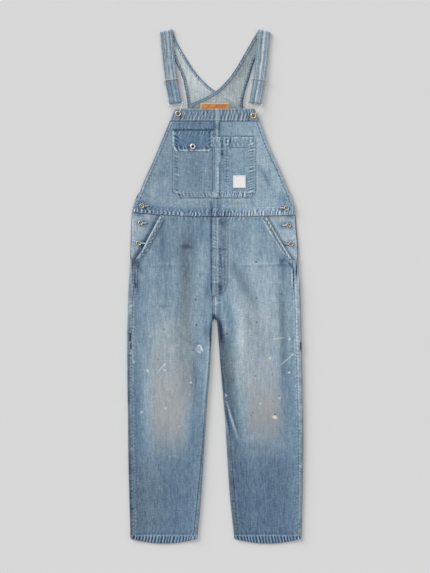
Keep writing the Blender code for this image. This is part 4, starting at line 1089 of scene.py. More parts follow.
def makeHipFacing(side):
    away, wide, shade = facing["shade"][side]
    grid, tones = [], []
    for y in evenSteps(62, 207.7, 3.2):
        opening = float(pocketLine(side, y))
        start = legAt(side, "outer", y) - 2.4 - 6 * (1 - float(ramp(y, 76, 88)))
        drop = facing["drop"] + 0.9 * (1 - float(ramp(y, 84, 108)))
        stop = opening - facing["underlap"]
        out = start - (start - stop) * np.linspace(0, 1, facing["columns"]) ** 1.2
        z = legTop(side, out, np.full(out.shape, y)) - drop
        relief = pucker(start - out - 8, y + 0 * out, 200 + side, pitch=9, reach=5, rise=0.15, tone=16)
        relief += line(start - out - 1, 3, 18, 0, y + 0 * out, 201)
        relief += line(out - opening - away, wide, shade)
        relief[1] += buttonShade(side * out, bowed(out, y, side))
        # painted shade under the waistband's lower edge, and painted light along the facing's top nearer the
        # opening, which offsets the band's shadow
        relief += line(203 - y + 0 * out, 6, -44, 0, out, 203) * within(out, 206, 220, 232, 240)
        relief += line(208 - y + 0 * out, 3, 34) * (1 - ramp(out, 206, 220))
        tone = facing["tone"][side] + relief[1] + 11 * rope(y * 0.5 + out * 0.7, 202 + side, 16)
        grid.append(np.stack([side * out, bowed(out, y, side), z + relief[0]], axis=1))
        tones.append(tone)
    cloth("hipFacing" + sides[side], np.array(grid), np.array(tones), "denim",
          ["hip_facing_" + sides[side].lower()], grow=-1)


def makeHipBand(side):
    ys = evenSteps(83, 203, 2.0)
    edge = np.stack([side * (pocketLine(side, ys) - 1), ys], axis=1)
    width = (hipBand["width"] * (0.4 + 0.6 * ramp(ys, 80, 116)))[:, None]
    beside = besideEdge(edge, width, 1 if side > 0 else -1)
    t = np.linspace(0, 1, 9)[None, :, None]
    points = edge[:, None] * (1 - t) + beside[:, None] * t
    x, y = points[..., 0], points[..., 1]
    across = t[..., 0] * width
    along = ys[:, None] + 0 * x
    relief = pucker(across - 5, along, 210 + side, pitch=8, reach=4, rise=0.2, tone=48, lean=1.3)
    relief += pucker(across - 10, along, 212 + side, pitch=8, reach=4, rise=0.2, tone=44, lean=-1.3)
    relief += line(across - 1, *hipBand["rim"][side], 0, along, 214)
    if side < 0:
        relief += line(across - 14, 1.6, -14)
    else:
        # on the right, a painted highlight along the band's inner edge, which faces the light
        relief += line(across - 13, 2.2, 52, 0, along, 215) + line(across - 7, 3, -34)
    height, tone = trunkFace(x, y)
    tone = 0.5 * tone + hipBand["tone"][side]
    place = y + (waistY(x) - garment["waistY"]) * ramp(y, 135, garment["waistY"])
    grid = np.stack([x, place, height + hipBand["lift"] + relief[0]], axis=-1)
    cloth("hipBand" + sides[side], grid, tone + relief[1], "denim", ["hip_band_" + sides[side].lower()])
    for offset in (3.0, 11.0):
        share = offset / hipBand["width"]
        row = grid[:, 0] * (1 - share) + grid[:, -1] * share
        near = grid[:, round(share * 8)]
        row = np.stack([row[:, 0], row[:, 1], near[:, 2] + garment["wall"] + 0.12], axis=1)
        stitchPath("hips", row)
    if side < 0:
        zigzag = np.array([grid[k, 3 if k // 3 % 2 else 6] for k in range(6, len(ys), 3)])
        zigzag[:, 2] += garment["wall"] + 0.25
        stitchPath("zigzag", zigzag, pitch=3.4, length=3.0, width=2.3)


def besideEdge(points, width, side):
    run = np.gradient(points, axis=0)
    run /= np.linalg.norm(run, axis=1, keepdims=True)
    return points + side * width * np.stack([-run[:, 1], run[:, 0]], axis=1)


for which in (-1, 1):
    makeFront(which)
    makeBack(which)
    makeHipFacing(which)
    makeHipBand(which)
print("legs made")


def makeFly():
    ys = np.concatenate([[-29, -28.6, -27.8, -26.5, -24.5], evenSteps(-22, 205, 2.4)])
    x, y = levelGrid(fly["left"], flyEdge, ys, 24)
    toEdge = flyEdge(y) - x
    relief = pucker(x + 1, y, 301, pitch=9, reach=5, rise=0.2, tone=24)
    relief += pucker(toEdge - 13, y, 302, pitch=8, reach=8, rise=0.25, tone=13, lean=0.5)
    relief += line(x + 10.8, 1.8, -84, 0, y, 310, rough=0.1) + line(x + 6.0, 2.4, 20, 0, y, 305)
    relief += line(x - 8.2, 2.4, 44, 0.15, y, 303)
    relief += line(x - 14.4, 3.6, -40, 0, y, 304, rough=0.5) * (1 - 0.7 * ramp(y, 100, 130))
    relief += line(toEdge - 13, 2.0, -10, 0, y, 306) + line(toEdge - 5.5, 1.8, -9, 0, y, 307)
    # painted light at the placket's curved edge, which offsets the shadow of that edge
    relief += line(toEdge, 1.6, 4)
    relief += line(y - 192, 11, -30, 0, x * 2, 308, rough=0.6) * ramp(x, 8, 14)
    relief += line(y - 60, 20, -22, 0, x, 313) * ramp(x, 12, 20)
    relief += line(y + 8, 20, -26, 0, x * 2 + y, 309) * within(x, 0, 4, 16, 24)
    relief += line(y - 111.5, 1.9, -48, 0, x, 314) + line(y - 13.6, 1.9, 40, 0, x, 315) * (1 - ramp(x, 27, 32))
    relief[1] += 17 * bars(x + 0.1 * y, 316, 9) * bell(y - 70, 26) * ramp(x, 8, 14)
    relief += pucker(x + 2, y, 317, pitch=9, reach=5, rise=0.1, tone=34, lean=0.1) * bell(y - 121, 20)
    tone = fly["tone"] + 19 * (1 - ramp(toEdge, 0, 14)) - 5 * (1 - ramp(y, 40, 100)) * ramp(x, 8, 14)
    tone = tone + 15 * rope(x, 311, 8) * ramp(x, 10, 16) + 7 * rope(y + 0.5 * x, 312, 30)
    relief[0] -= 0.2 * (1 - ramp(toEdge, 0, 3))
    face = lambda x, y: trunkFace(x, y)[0]
    laid("flyPlacket", x, y, face, fly["lift"], relief, tone, "denim", ["fly_placket"])
    top = raised(face, fly["lift"] + garment["wall"] + 0.3)
    stitchOn("fly", top, [(-7, 203), (-7, -20)])
    stitchOn("fly", top, [(10, 203), (10, -18)])
    for inset in (3.0, 9.5):
        run = evenSteps(-22, 203, 3)
        stitchOn("fly", top, np.stack([flyEdge(run) - inset, run], axis=1))
    barTack("fly", top, 22, 16, 0, 10)
    barTack("fly", top, 9, -1, 90, 12)


makeFly()
print("fly made")


chestPocket = {  # left, right, bottom and top, how far its corners are cut, and the grey level
    "left": (-125.0, -9.5, 265.0, 438.0, 15.0, 145.0),
    "right": (-5.2, 121.5, 265.0, 447.0, 16.0, 155.0),
    "chamfer": 18.0,         # how high the cut corners reach
    "strong": 48,            # grey levels of the right one's top puckers
    "ladder": {"left": (10, 34), "right": (14, 46)},  # puckers along the side: distance and grey levels
}
topBand = {"width": 36.5, "tone": 137, "rows": (3.2, 32.0)}
waistBand = {"width": 26.0, "from": -243.0, "to": 235.0, "tone": 131, "rows": (3.0, 8.6)}
centreStrip = {"half": 7.0, "tone": 162.0, "rows": (-4.2, 4.2)}


def bibRelief(x, y):
    left = x - between(bibRows, "left", y)
    right = between(bibRows, "right", y) - x
    relief = pucker(left - 8, y, 401, pitch=9, reach=6, rise=0.25, tone=10)
    relief += pucker(right - 8, y, 402, pitch=9, reach=6, rise=0.25, tone=9)
    for edge, seed, rim, fold, sewn, dark in ((left, 403, 24, -20, 11.5, -17), (right, 404, 28, 14, 8.0, -44)):
        relief += line(edge - 1.0, 1.6, fold, 0, y * 1.8, seed)
        relief += line(edge - 0.43 * sewn, 0.28 * sewn, rim, 0, y, seed + 2)
        relief += line(edge - sewn, 1.8, dark, 0, y, seed + 4)
    relief += line(y - (bibRows[-1].y - topBand["width"]) + 2, 2.6, -18)
    wave = rope(x * 0.6 + y * 0.25, 408, 34) * 0.25 + rope(y * 0.5 - x * 0.3, 409, 46) * 0.25
    relief[0] += wave + 0.3
    return relief


def bibFace(x, y):
    return bibTop(x, y) + bibRelief(x, y)[0]


def bibTone(x, y):
    tone = 153 + 13 * ramp(x, 10, 90) + 5 * ramp(y, 470, 520) - 2 * ramp(-x, 100, 200)
    tone = tone + 0.5 * buttonShade(x, y) + creaseField(bibCreases, x, y, "tone")
    # the lines around the chest pockets: a dark line beside the left one's outer edge, painted light right of
    # and below the pockets, which offsets the shadows they cast, and a dark line above the right one
    around = -46 * bell(x - (chestPocket["left"][0] - 1.5), 1.8) * within(y, 272, 282, 425, 440)
    around = around + 14 * bell(x - (chestPocket["right"][1] + 3), 3.6) * within(y, 272, 282, 440, 450)
    around = around + 14 * bell(y - 260.5, 4.5) * within(x, -112, -106, 104, 108)
    around = around - 26 * bell(y - 449.5, 2.6) * within(x, -6, 0, 116, 122) * (1 + ramp(x, 60, 74))
    return tone + around


def stripEdges(y):
    centre = between(bibRows, "centre", y)
    return centre - centreStrip["half"], centre + centreStrip["half"]


def makeBibHalf(side):
    key = sides[side].lower()
    rows, tones = [], []
    for y in evenSteps(208, 532.8, 2.6):
        outer = float(between(bibRows, key, y))
        centre = float(between(bibRows, "centre", y)) + side * 0.2
        t = np.linspace(0, 1, 84) ** 1.15
        x = outer + (centre - outer) * t
        place = y + (waistY(x) + 0.3 - garment["waistY"]) * (1 - ramp(y, garment["waistY"], 300))
        flat = np.full(x.shape, y)
        rows.append(np.stack([x, place, bibFace(x, flat)], axis=1))
        tones.append(bibTone(x, flat) + bibRelief(x, flat)[1])
    cloth("bib" + sides[side], np.array(rows), np.array(tones), "denimBib" + sides[side], ["bib_" + key],
          grow=-1, allow=(20, 12))
    run = evenSteps(212, 494, 4)
    for inset in (3.0, 9.5):
        xy = np.stack([between(bibRows, key, run) - side * inset, run], axis=1)
        stitchOn("bibEdge", raised(bibFace, 0.12), xy)


def makeTopBand():
    top = bibRows[-1].y
    ys = evenSteps(top - topBand["width"], top - 0.3, 2.0)
    x, y = levelGrid(between(bibRows, "left", ys) + 0.5, between(bibRows, "right", ys) - 0.5, ys, 126)
    down = top - y
    dabbed = ramp(-x, 10, 30)
    calm = (1 - 0.75 * bell(x - 5.5, 9)) * (1 - 0.5 * dabbed)
    relief = pucker(down - 26, x, 411, pitch=11, reach=14, rise=0.45, tone=44, lean=0.25) * calm
    relief += pucker(down - 10, x, 412, pitch=10, reach=10, rise=0.35, tone=34, lean=-0.2) * calm
    relief += pucker(down - 30, x, 417, pitch=8.5, reach=6, rise=0.2, tone=42) * dabbed
    relief += pucker(down - 15, x, 418, pitch=8.5, reach=6, rise=0.2, tone=36) * dabbed
    relief += line(down - 1.5, 2.2, 30, 0, x, 413) + line(down - 34, 2.0, 26, 0, x, 414)
    relief += line(down - 4.8, 1.6, -14, 0, x, 415) + line(x - 5.5, 7.0, 34) + line(x - 14.5, 2.0, -32)
    relief += line(x + 4, 1.8, -32) + line(x - 101, 5.5, -52, 0, y, 416)
    tone = topBand["tone"] + 8 * ramp(x, 10, 100)
    laid("bibTopBand", x, y, bibFace, garment["gap"], relief, tone, "denim", ["bib_top_band"])
    run = evenSteps(-116, 113, 4)
    for drop in topBand["rows"]:
        stitchOn("bibBand", raised(bibFace, layer + 0.3), np.stack([run, top - drop + 0 * run], axis=1))


def makeCentreStrip():
    ys = evenSteps(garment["waistY"] + waistBand["width"] + 1.5, bibRows[-1].y - topBand["width"] - 1.5, 2.4)
    x, y = levelGrid(*stripEdges(ys), ys, 9)
    across = x - between(bibRows, "centre", y)
    relief = pucker(across + 4, y, 421, pitch=9, reach=4, rise=0.25, tone=14)
    relief += pucker(across - 4, y, 422, pitch=8, reach=4, rise=0.25, tone=14)
    relief += line(across + 6.2, 1.8, -40) + line(across - 6.2, 1.8, -40) + line(across - 2, 2.2, 16, 0, y, 423)
    relief[1] += creaseField(bibCreases, x, y, "tone")
    laid("bibCentreStrip", x, y, bibFace, garment["gap"], relief, centreStrip["tone"], "denimBibLeft",
         ["bib_centre_strip"])
    run = evenSteps(236, 493, 4)
    for offset in centreStrip["rows"]:
        xy = np.stack([between(bibRows, "centre", run) + offset, run], axis=1)
        stitchOn("bibSeam", raised(bibFace, layer + 0.2), xy)


def makeWaistBand():
    xs = evenSteps(waistBand["from"], waistBand["to"], 2.2)
    across = evenSteps(0, waistBand["width"], 2.2)
    bottom = waistY(xs) + 1
    x = np.broadcast_to(xs, (len(across), len(xs)))
    y = bottom[None] + across[:, None]
    up = across[:, None] + 0 * x
    right = ramp(x, -30, 10)
    left = 1 - right
    relief = pucker(up - 7.5, x, 431, pitch=11.5, reach=7.5, rise=0.4, tone=66, lean=0.15, bend=0.1) * left
    relief += pucker(up - 9, x, 436, pitch=7, reach=7, rise=0.2, tone=34, lean=-0.4, bend=-0.05) * left
    relief += pucker(up - 8, x, 435, pitch=8.2, reach=7.5, rise=0.35, tone=64, lean=-0.1) * right
    relief += pucker(up - 8, x, 437, pitch=12, reach=7, rise=0.2, tone=30, lean=0.3, bend=0.06) * right
    relief += pucker(up - 16, x, 434, pitch=12, reach=6, rise=0.3, tone=24, lean=-0.3, bend=0.06)
    relief += pucker(up - 23, x, 432, pitch=14, reach=7, rise=0.2, tone=10, lean=-0.5)
    middle = within(x, -40, -20, 50, 70)
    # painted light along the band's lower edge outside the middle, which offsets the shadow that edge casts; a
    # dark line along it in the middle
    relief += line(up - 0.5, 1.8, 16) * (1 - middle) * ramp(x, -218, -206) + line(up - 0.5, 2.2, -36) * middle
    relief += line(up - 12, 1.8, -8, 0, x, 433)
    relief[1] += 0.8 * buttonShade(x, y)
    relief += line(x + 9.5, 3.5, -66) + line(x + 1, 5, 18) + line(x - 9, 2.4, -44)
    relief -= line(x - 33, 12, 12) * (1 - ramp(up, 6, 16))
    seam = garment["waistY"]
    height = lambda x, y: bibFace(x, np.maximum(y - waistY(x) + seam, seam))
    tone = waistBand["tone"] + 34 * ramp(x, 10, 120) + 6 * ramp(up, 12, 22)
    laid("waistBand", x, y, height, garment["gap"], relief, tone, "denimBibRight", ["waistband"])
    run = evenSteps(waistBand["from"] + 3, waistBand["to"] - 3, 4)
    for offset in waistBand["rows"]:
        stitchOn("waist", raised(height, layer + 0.35), np.stack([run, waistY(run) + 1 + offset], axis=1))


for which in (-1, 1):
    makeBibHalf(which)
makeTopBand()
makeCentreStrip()
makeWaistBand()
print("bib made")


def overStrip(x, y):
    low, high = stripEdges(y)
    return layer * (ramp(x, low - 9, low - 1) - ramp(x, high + 1, high + 9))


def makeChestPocket(key, face):
    left, right, bottom, top, corner, tone = chestPocket[key]
    isLeft = key == "left"

    def cut(v):  # the outer corner at the foot is cut off
        return corner * np.maximum(1 - (v - bottom) / chestPocket["chamfer"], 0.0)

    def leftEdge(v):
        return left + (cut(v) if isLeft else 0 * v)

    def rightEdge(v):
        return right - (0 * v if isLeft else cut(v))

    x, y = levelGrid(leftEdge, rightEdge, evenSteps(bottom, top, 2.5), 56)
    fromLeft, fromRight = x - leftEdge(y), rightEdge(y) - x
    up, down = y - bottom, top - y
    outer = fromLeft if isLeft else fromRight
    seed = 440 if isLeft else 460
    inset, strength = chestPocket["ladder"][key]
    relief = pucker(outer - inset, y, seed, pitch=9, reach=7, rise=0.3, tone=strength, lean=0.3)
    relief += pucker(up - 11, x, seed + 1, pitch=9.5, reach=6, rise=0.3, tone=62)
    relief += line(outer - 1.5, 2.0, 24, 0, y, seed + 2) + line(outer - 17, 2.0, 20, 0, y, seed + 3)
    relief += line(up - 2, 2.4, 22, 0, x, seed + 4) + line(up - 18, 2.0, 12, 0, x, seed + 12)
    relief[0] -= 0.2 * (1 - ramp(np.minimum(outer, up), 0, 3))
    if isLeft:
        relief += line(fromRight - 1.5, 2.2, 14, 0, y, seed + 6) + line(fromRight - 6, 2.0, -14, 0, y, seed + 7)
        relief += line(outer - 8, 7, -10)
    else:
        strong = chestPocket["strong"]
        relief += pucker(down - 10, x, seed + 5, pitch=9.5, reach=8, rise=0.35, tone=strong * 0.85, lean=0.2)
        relief += pucker(down - 22, x, seed + 16, pitch=11, reach=8, rise=0.25, tone=strong * 0.6, lean=-0.3)
        relief += line(down - 2, 2.2, 42, 0, x, seed + 6) + line(down - 34.8, 2.0, 20, 0, x, seed + 7)
        relief += line(down - 31.4, 1.8, -46, 0, x, seed + 13, rough=0.2) * (0.3 + 0.7 * ramp(x, 46, 56))
        relief += pucker(x - 36, y, seed + 8, pitch=9, reach=5, rise=0.3, tone=40, lean=0.2) * ramp(y, 290, 315)
        relief += line(x - 20, 8, -16, 0, y, seed + 9, rough=0.6) * ramp(y, 280, 400)
        relief += line(x - 20.5, 4.2, -46, 0, y, seed + 17, rough=0.8) * ramp(y, 376, 400)
        relief += line(x - 44.5, 3.4, -66, 0, y, seed + 18, rough=0.3) * ramp(y, 406, 420)
        relief += line(x - 33.5, 1.7, -42, 0, y, seed + 19, rough=0.8) * ramp(y, 306, 316)
        relief += line(x - 2, 3, 12, 0, y, seed + 10) + line(x + 3.2, 1.8, -54) + line(x + 5.4, 1.4, 34)
        relief += line(x - 8.0, 2.0, 66, 0, y, seed + 14) * (0.5 + 0.5 * within(y, 280, 290, 352, 362))
        relief += line(x - 13.5, 2.4, -40, 0, y, seed + 15) * (1 - ramp(y, 362, 376))
        relief += line(x - 14, 2.0, 46, 0, y, seed + 20, rough=0.2) * ramp(y, 368, 382)
        relief += line(outer - 14, 7, -9)
        relief += line(outer - 3.5, 2.0, 34, 0, y, seed + 21) * within(y, 345, 352, 420, 426)
        fine = within(x, 8, 18, 84, 100)
        relief += pucker(up - 10, x, seed + 22, pitch=6.6, reach=9, rise=0.2, tone=84, lean=-0.2) * fine
    relief[1] += 5 * rope(x * 0.8 + y * 0.1, seed + 11, 40) + creaseField(bibCreases, x, y, "tone")
    name = "chestPocket" + key.capitalize()
    laid(name, x, y, face, garment["gap"], relief, tone, "denimBib" + key.capitalize(), ["chest_pocket_" + key])
    onTop = raised(face, layer + 0.3)
    run = evenSteps(bottom + 3, top - 3, 3)
    for inset in (3.0, 17.5):
        edge = leftEdge(run) + inset if isLeft else rightEdge(run) - inset
        stitchOn("pockets", onTop, np.stack([edge, run], axis=1))
    for inset in (3.0, 14.0):
        ends = np.array([leftEdge(bottom + inset) + 4, rightEdge(bottom + inset) - 4])
        stitchOn("pockets", onTop, [(ends[0], bottom + inset), (ends[1], bottom + inset)])
    if not isLeft:
        for drop in (3.0, 31.0):
            stitchOn("pockets", onTop, [(left + 3, top - drop), (right - 3, top - drop)])
        stitchOn("pockets", onTop, [(33.8, 316), (33.8, top - 3)])
        stitchOn("pockets", onTop, [(44.6, 405), (44.6, top - 3)])
        for middle in (6, right - 6):
            barTack("pocketTacks", onTop, middle, top - 3, 0, 7)


# Left, right, low and high sides of the small pieces.
boxes = {
    "flapBand": (-126.5, -5.0, 468.0, 494.5), "flap": (-128.0, -7.0, 405.0, 466.5),
    "tab": (-10.0, 12.0, 265.5, 283.0), "label": (54.5, 92.0, 294.5, 332.0),
    "patch": (-43.5, 42.5, 490.0, 549.5),
}
boxTones = {"flapBand": 130.0, "flap": 123.0, "tab": 176.0}
flapCorner = 12.0  # how round the flap's lower corners are


def fromBox(key, x, y):  # how far a place is from the nearest side
    left, right, low, high = boxes[key]
    return np.minimum.reduce([x - left, right - x, y - low, high - y])


def insideBox(key, inset):  # a closed row of stitches
    left, right, low, high = boxes[key]
    left, right, low, high = left + inset, right - inset, low + inset, high - inset
    return [(left, low), (right, low), (right, high), (left, high), (left, low)]


def makeFlap():
    left, right, low, high = boxes["flapBand"]
    x, y = levelGrid(left, right, evenSteps(low, high, 2.2), 50)
    up = y - low
    relief = pucker(up - 5, x, 481, pitch=10, reach=5, rise=0.2, tone=17) + line(high - 0.5 - y, 2.4, -20)
    relief += pucker(up - 19, x, 483, pitch=13, reach=6, rise=0.2, tone=12, lean=-0.3)
    relief += line(up - 1, 2.6, -46) + line(x - left - 3.5, 3, 16, 0, y, 482) + line(x - right + 4, 3, -16)
    laid("flapBand", x, y, bibFace, garment["gap"], relief, boxTones["flapBand"], "denimFlap", ["flap_band"])

    left, right, low, high = boxes["flap"]
    corner = lambda v: flapCorner * np.maximum(1 - (v - low) / flapCorner, 0.0) ** 1.4
    ys = np.concatenate([low + np.array([0, 0.8, 2, 3.6]), evenSteps(low + 5.6, high, 2.2)])
    x, y = levelGrid(left + corner(ys), right - corner(ys), ys, 52)
    fromLeft, fromRight = x - left - corner(y), right - corner(y) - x
    up, down = y - low, high - y
    relief = pucker(up - 9, x, 491, pitch=12, reach=7, rise=0.4, tone=60, lean=0.3)
    relief += pucker(fromLeft - 9, y, 492, pitch=11, reach=6, rise=0.3, tone=46)
    relief += pucker(fromRight - 9, y, 493, pitch=11, reach=6, rise=0.3, tone=46)
    relief += pucker(down - 6, x, 494, pitch=11, reach=6, rise=0.3, tone=38)
    for edge, seed in ((up, 495), (fromLeft, 496), (fromRight, 497)):
        relief += line(edge - 9, 4.5, -16) + line(edge - 2, 3.4, 78, 0, (x + y) * 0.8, seed)
    relief += line(down - 0.5, 2.0, -26)
    relief[0] -= 0.2 * (1 - ramp(np.minimum.reduce([fromLeft, fromRight, up]), 0, 3))
    laid("chestPocketFlap", x, y, bibFace, layer + garment["gap"], relief, boxTones["flap"], "denimFlap",
         ["chest_pocket_flap"])
    onTop = raised(bibFace, 2 * layer + 0.35)
    stitchOn("flap", onTop, [(-121, 464), (-121, 419), (-117.5, 413), (-111, 411.5), (-24, 411.5),
                             (-17.5, 413), (-14, 419), (-14, 464)])
    stitchOn("flap", onTop, [(-125, 462.8), (-10, 462.8)])
    stitchOn("flap", raised(bibFace, layer + 0.2), [(-123, 491), (-9, 491)])


def makeTabAndLabel():
    left, right, low, high = boxes["tab"]
    x, y = levelGrid(left, right, evenSteps(low, high, 1.6), 14)
    edge = fromBox("tab", x, y)
    relief = pucker(edge - 3, x + y, 501, pitch=6, reach=4, rise=0.25, tone=14) + line(edge - 0.5, 1.6, -22)
    laid("centreTab", x, y, bibFace, 2 * layer + garment["gap"], relief, boxTones["tab"], "denim", ["centre_tab"])
    stitchOn("pockets", raised(bibFace, 3 * layer + 0.3), insideBox("tab", 3), pitch=2.6, length=2.0)

    left, right, low, high = boxes["label"]
    x, y = levelGrid(left, right, evenSteps(low, high, 1.6), 24)
    wave = 0.2 + 0.2 * rope(x * 0.7 + y * 0.5, 511, 18)
    tone = 60 + 160 * ramp(fromBox("label", x, y), 0, 4)
    laid("pocketLabel", x, y, bibFace, layer + garment["gap"], [wave, 0 * wave], tone, "label", ["pocket_label"])
    stitchOn("label", raised(bibFace, 2 * layer + 0.25), insideBox("label", 2), pitch=2.4, length=1.8, width=0.6)


makeChestPocket("left", bibFace)
makeChestPocket("right", lambda x, y: bibFace(x, y) + overStrip(x, y))
makeFlap()
makeTabAndLabel()
print("pockets made")


yokeLook = {-1: {"tone": 207, "top": 6, "low": 22}, 1: {"tone": 174, "top": 18, "low": 0}}
yokeHem = {
    "width": 7.5, "stop": 6.0,
    # the right armhole hem's low grey level is partly painted shadow of the strap beside it
    "tone": {-1: {"Armhole": 128, "Neck": 138}, 1: {"Armhole": 104, "Neck": 125}},
}
yokeCreases = {
    -1: rowsOf(Crease,
        (-70, 574, 20, 60, 4, 0, 10), (-88, 610, -58, 90, 4, 0, -6), (-62, 566, -48, 50, 3, 0, -12),
        (-84, 640, -62, 70, 3, 0, 8)),
    1: rowsOf(Crease,
        (44, 563, -29, 60, 3, 0, 24), (41, 556, -29, 56, 3, 0, -16), (30, 577, -42, 54, 3, 0, 16),
        (52, 590, -50, 60, 4, 0, -12), (12, 560, -84, 34, 3, 0, 14), (4, 558, -86, 30, 3, 0, -14),
        (70, 600, -104, 110, 6, 0, 8), (84, 650, -112, 90, 7, 0, -12)),
}


# The back panel's grey level, how much darker its rim is ("edge"), and the painted shadow on its rim near y 266
# ("hollow").
panelLook = {"tone": 150, "edge": 22, "hollow": 90}
leatherWall = 1.2


def makeBackPanel():
    ys = evenSteps(208.4, 522.8, 4.5)
    left, right = between(backRows, "left", ys), between(backRows, "right", ys)
    t = np.linspace(0, 1, 72)
    x = left[:, None] + (right - left)[:, None] * t
    y = ys[:, None] + (waistY(x) + 0.3 - ys[0]) * np.maximum(1 - (ys[:, None] - ys[0]) / 32, 0.0)
    edge = np.minimum(x - left[:, None], right[:, None] - x)
    lift = 0.5 * (1 + rope(x * 0.6 + y * 0.3, 601, 60)) * ramp(edge, 6, 40) * ramp(y - 208, 5, 40)
    # painted shade along the panel's rim, darkest in the painted shadow near y 266
    shade = panelLook["edge"] + panelLook["hollow"] * bell(y - 266, 12)
    tone = panelLook["tone"] + 10 * rope(y, 602, 80) - shade * (1 - ramp(edge, 2, 14))
    cloth("backPanel", np.stack([x, y, lift], axis=-1), tone, "denimInside", ["back_panel"], allow=(20, 20))


def makeYoke(side):
    table = yokeRows[side]
    name = sides[side].lower()
    outer = np.array([(row.outerX, row.outerY) for row in table], float)
    inner = np.array([(row.innerX, row.innerY) for row in table], float)
    lift = (lambda x, y: 0 * x) if side < 0 else rightYokeLift

    share, knots = np.linspace(0, 1, 90), np.linspace(0, 1, len(table))
    edges = [pathAt(points, knots, share) for points in (outer, inner)]
    t = np.linspace(0, 1, 44)[None, :, None]
    points = edges[0][:, None] * (1 - t) + edges[1][:, None] * t
    x, y = points[..., 0], points[..., 1]
    width = np.linalg.norm(edges[1] - edges[0], axis=1)[:, None]
    edge = np.minimum(t[..., 0], 1 - t[..., 0]) * width
    relief = pucker(edge - 9, y + x * 0.3, 610 + side, pitch=11, reach=6, rise=0.2, tone=9)
    look = yokeLook[side]
    tone = look["tone"] - look["top"] * ramp(y, 560, 640) * ramp(y, 520, 700)
    tone = tone - look["low"] * (1 - ramp(y, 560, 625)) + creaseField(yokeCreases[side], x, y, "tone")
    tone = tone - 30 * (1 - ramp(y, 528, 560)) + relief[1]
    grid = np.stack([x, y, lift(x, y) + relief[0]], axis=-1)
    cloth("backYoke" + sides[side], grid, tone, "denimInside", ["back_yoke_" + name])
    slantedCut(grid, 14, 20)

    for label, points, sign in (("Armhole", outer, 1), ("Neck", inner, -1)):
        path = points[1:].copy()
        path[:, 0] -= side * sign
        path[-1, 1] -= yokeHem["stop"]
        marks = marksOf(path)
        run = pathAt(path, marks, np.linspace(0, marks[-1], 110))
        beside = besideEdge(run, yokeHem["width"], side * sign)
        t = np.linspace(0, 1, 6)[None, :, None]
        points = run[:, None] * (1 - t) + beside[:, None] * t
        x, y = points[..., 0], points[..., 1]
        across = t[..., 0] * yokeHem["width"] + 0 * x
        along = marksOf(run)[:, None] + 0 * x
        relief = pucker(across - 5, along, 620 + side, pitch=8, reach=4, rise=0.2, tone=36)
        relief += line(across - 1.2, 1.6, -34, 0, along, 622) + line(across - 4.4, 2.0, 34, 0, along, 623)
        z = lift(x, y) + layer + relief[0] + 0.2
        grid = np.stack([x, y, z], axis=-1)
        cloth(f"yokeHem{label}{sides[side]}", grid, yokeHem["tone"][side][label] + relief[1], "denim",
              [f"yoke_hem_{label.lower()}_{name}"])
        row = grid[:, 4].copy()
        row[:, 2] += garment["wall"] + 0.12
        stitchPath("yokes", row)


def makePatch():
    left, right, low, high = boxes["patch"]
    x, y = levelGrid(left, right, evenSteps(low, high, 2.0), 44)
    edge = np.minimum.reduce([x - left, right - x, high - y])
    relief = np.array([0.15 + 0.15 * rope(x * 0.5, 631, 30) - 0.25 * (1 - ramp(edge, 0, 2.0)), 0 * x])
    tone = 60 + 160 * ramp(edge, 0, 5)
    seat = lambda x, y: 3 * layer + 0 * x
    laid("backPatch", x, y, seat, 0.0, relief, tone, "leather", ["back_patch"], wall=leatherWall)
    left, right, low, high = left + 3, right - 3, low + 4, high - 3
    stitchOn("patch", raised(seat, leatherWall + 0.3), [(left, low), (left, high), (right, high), (right, low)])


makeBackPanel()
for which in (-1, 1):
    makeYoke(which)
makePatch()
print("back made")


def strapFrame(side, y):
    at, out = zip(*strapLine)
    centre, ahead, behind = (np.interp(y + step, at, out) for step in (0, 8, -8))
    slope = (ahead - behind) / 16 * side
    size = np.hypot(1, slope)
    return side * centre, 1 / size, -slope / size


def strapPath():
    radius = strap["foldRadius"]
    path = [(763.0, strap["thickness"] / 2)]
    for angle in np.radians(np.arange(-90, 91, 15)):
        path.append((strap["foldY"] + radius * math.cos(angle), 3.0 + radius * math.sin(angle)))
    over = np.array(strapOver[::-1])
    run = evenSteps(570, 769, 5)[::-1][1:]
    path += [(y, float(np.interp(y, over[:, 0], over[:, 1]))) for y in run]
    loop = wireWidth / 2 + garment["gap"] + strap["thickness"] / 2
    for angle in np.radians(np.arange(90, 271, 15)):
        path.append((strap["loopY"] + loop * math.cos(angle), strap["loopZ"] + loop * math.sin(angle)))
    return np.array(path + strapUnder[1:], float)


StripeRow = namedtuple("StripeRow", "share width tone")  # worn lines along the straps, over whose width
strapStripes = {
    -1: rowsOf(StripeRow,
        (0.12, 2.4, -18), (0.27, 2.4, 14), (0.38, 1.8, -42), (0.57, 2.4, 34), (0.7, 1.8, -30),
        (0.82, 2, 18), (0.93, 1.6, -20)),
    1: rowsOf(StripeRow,
        (0.06, 1.6, -14), (0.2, 2.6, 14), (0.365, 1.9, -58), (0.527, 2.2, 58), (0.67, 2, -24),
        (0.8, 2.2, 10), (0.94, 1.6, -14)),
}
strapBase = {-1: 161, 1: 168}


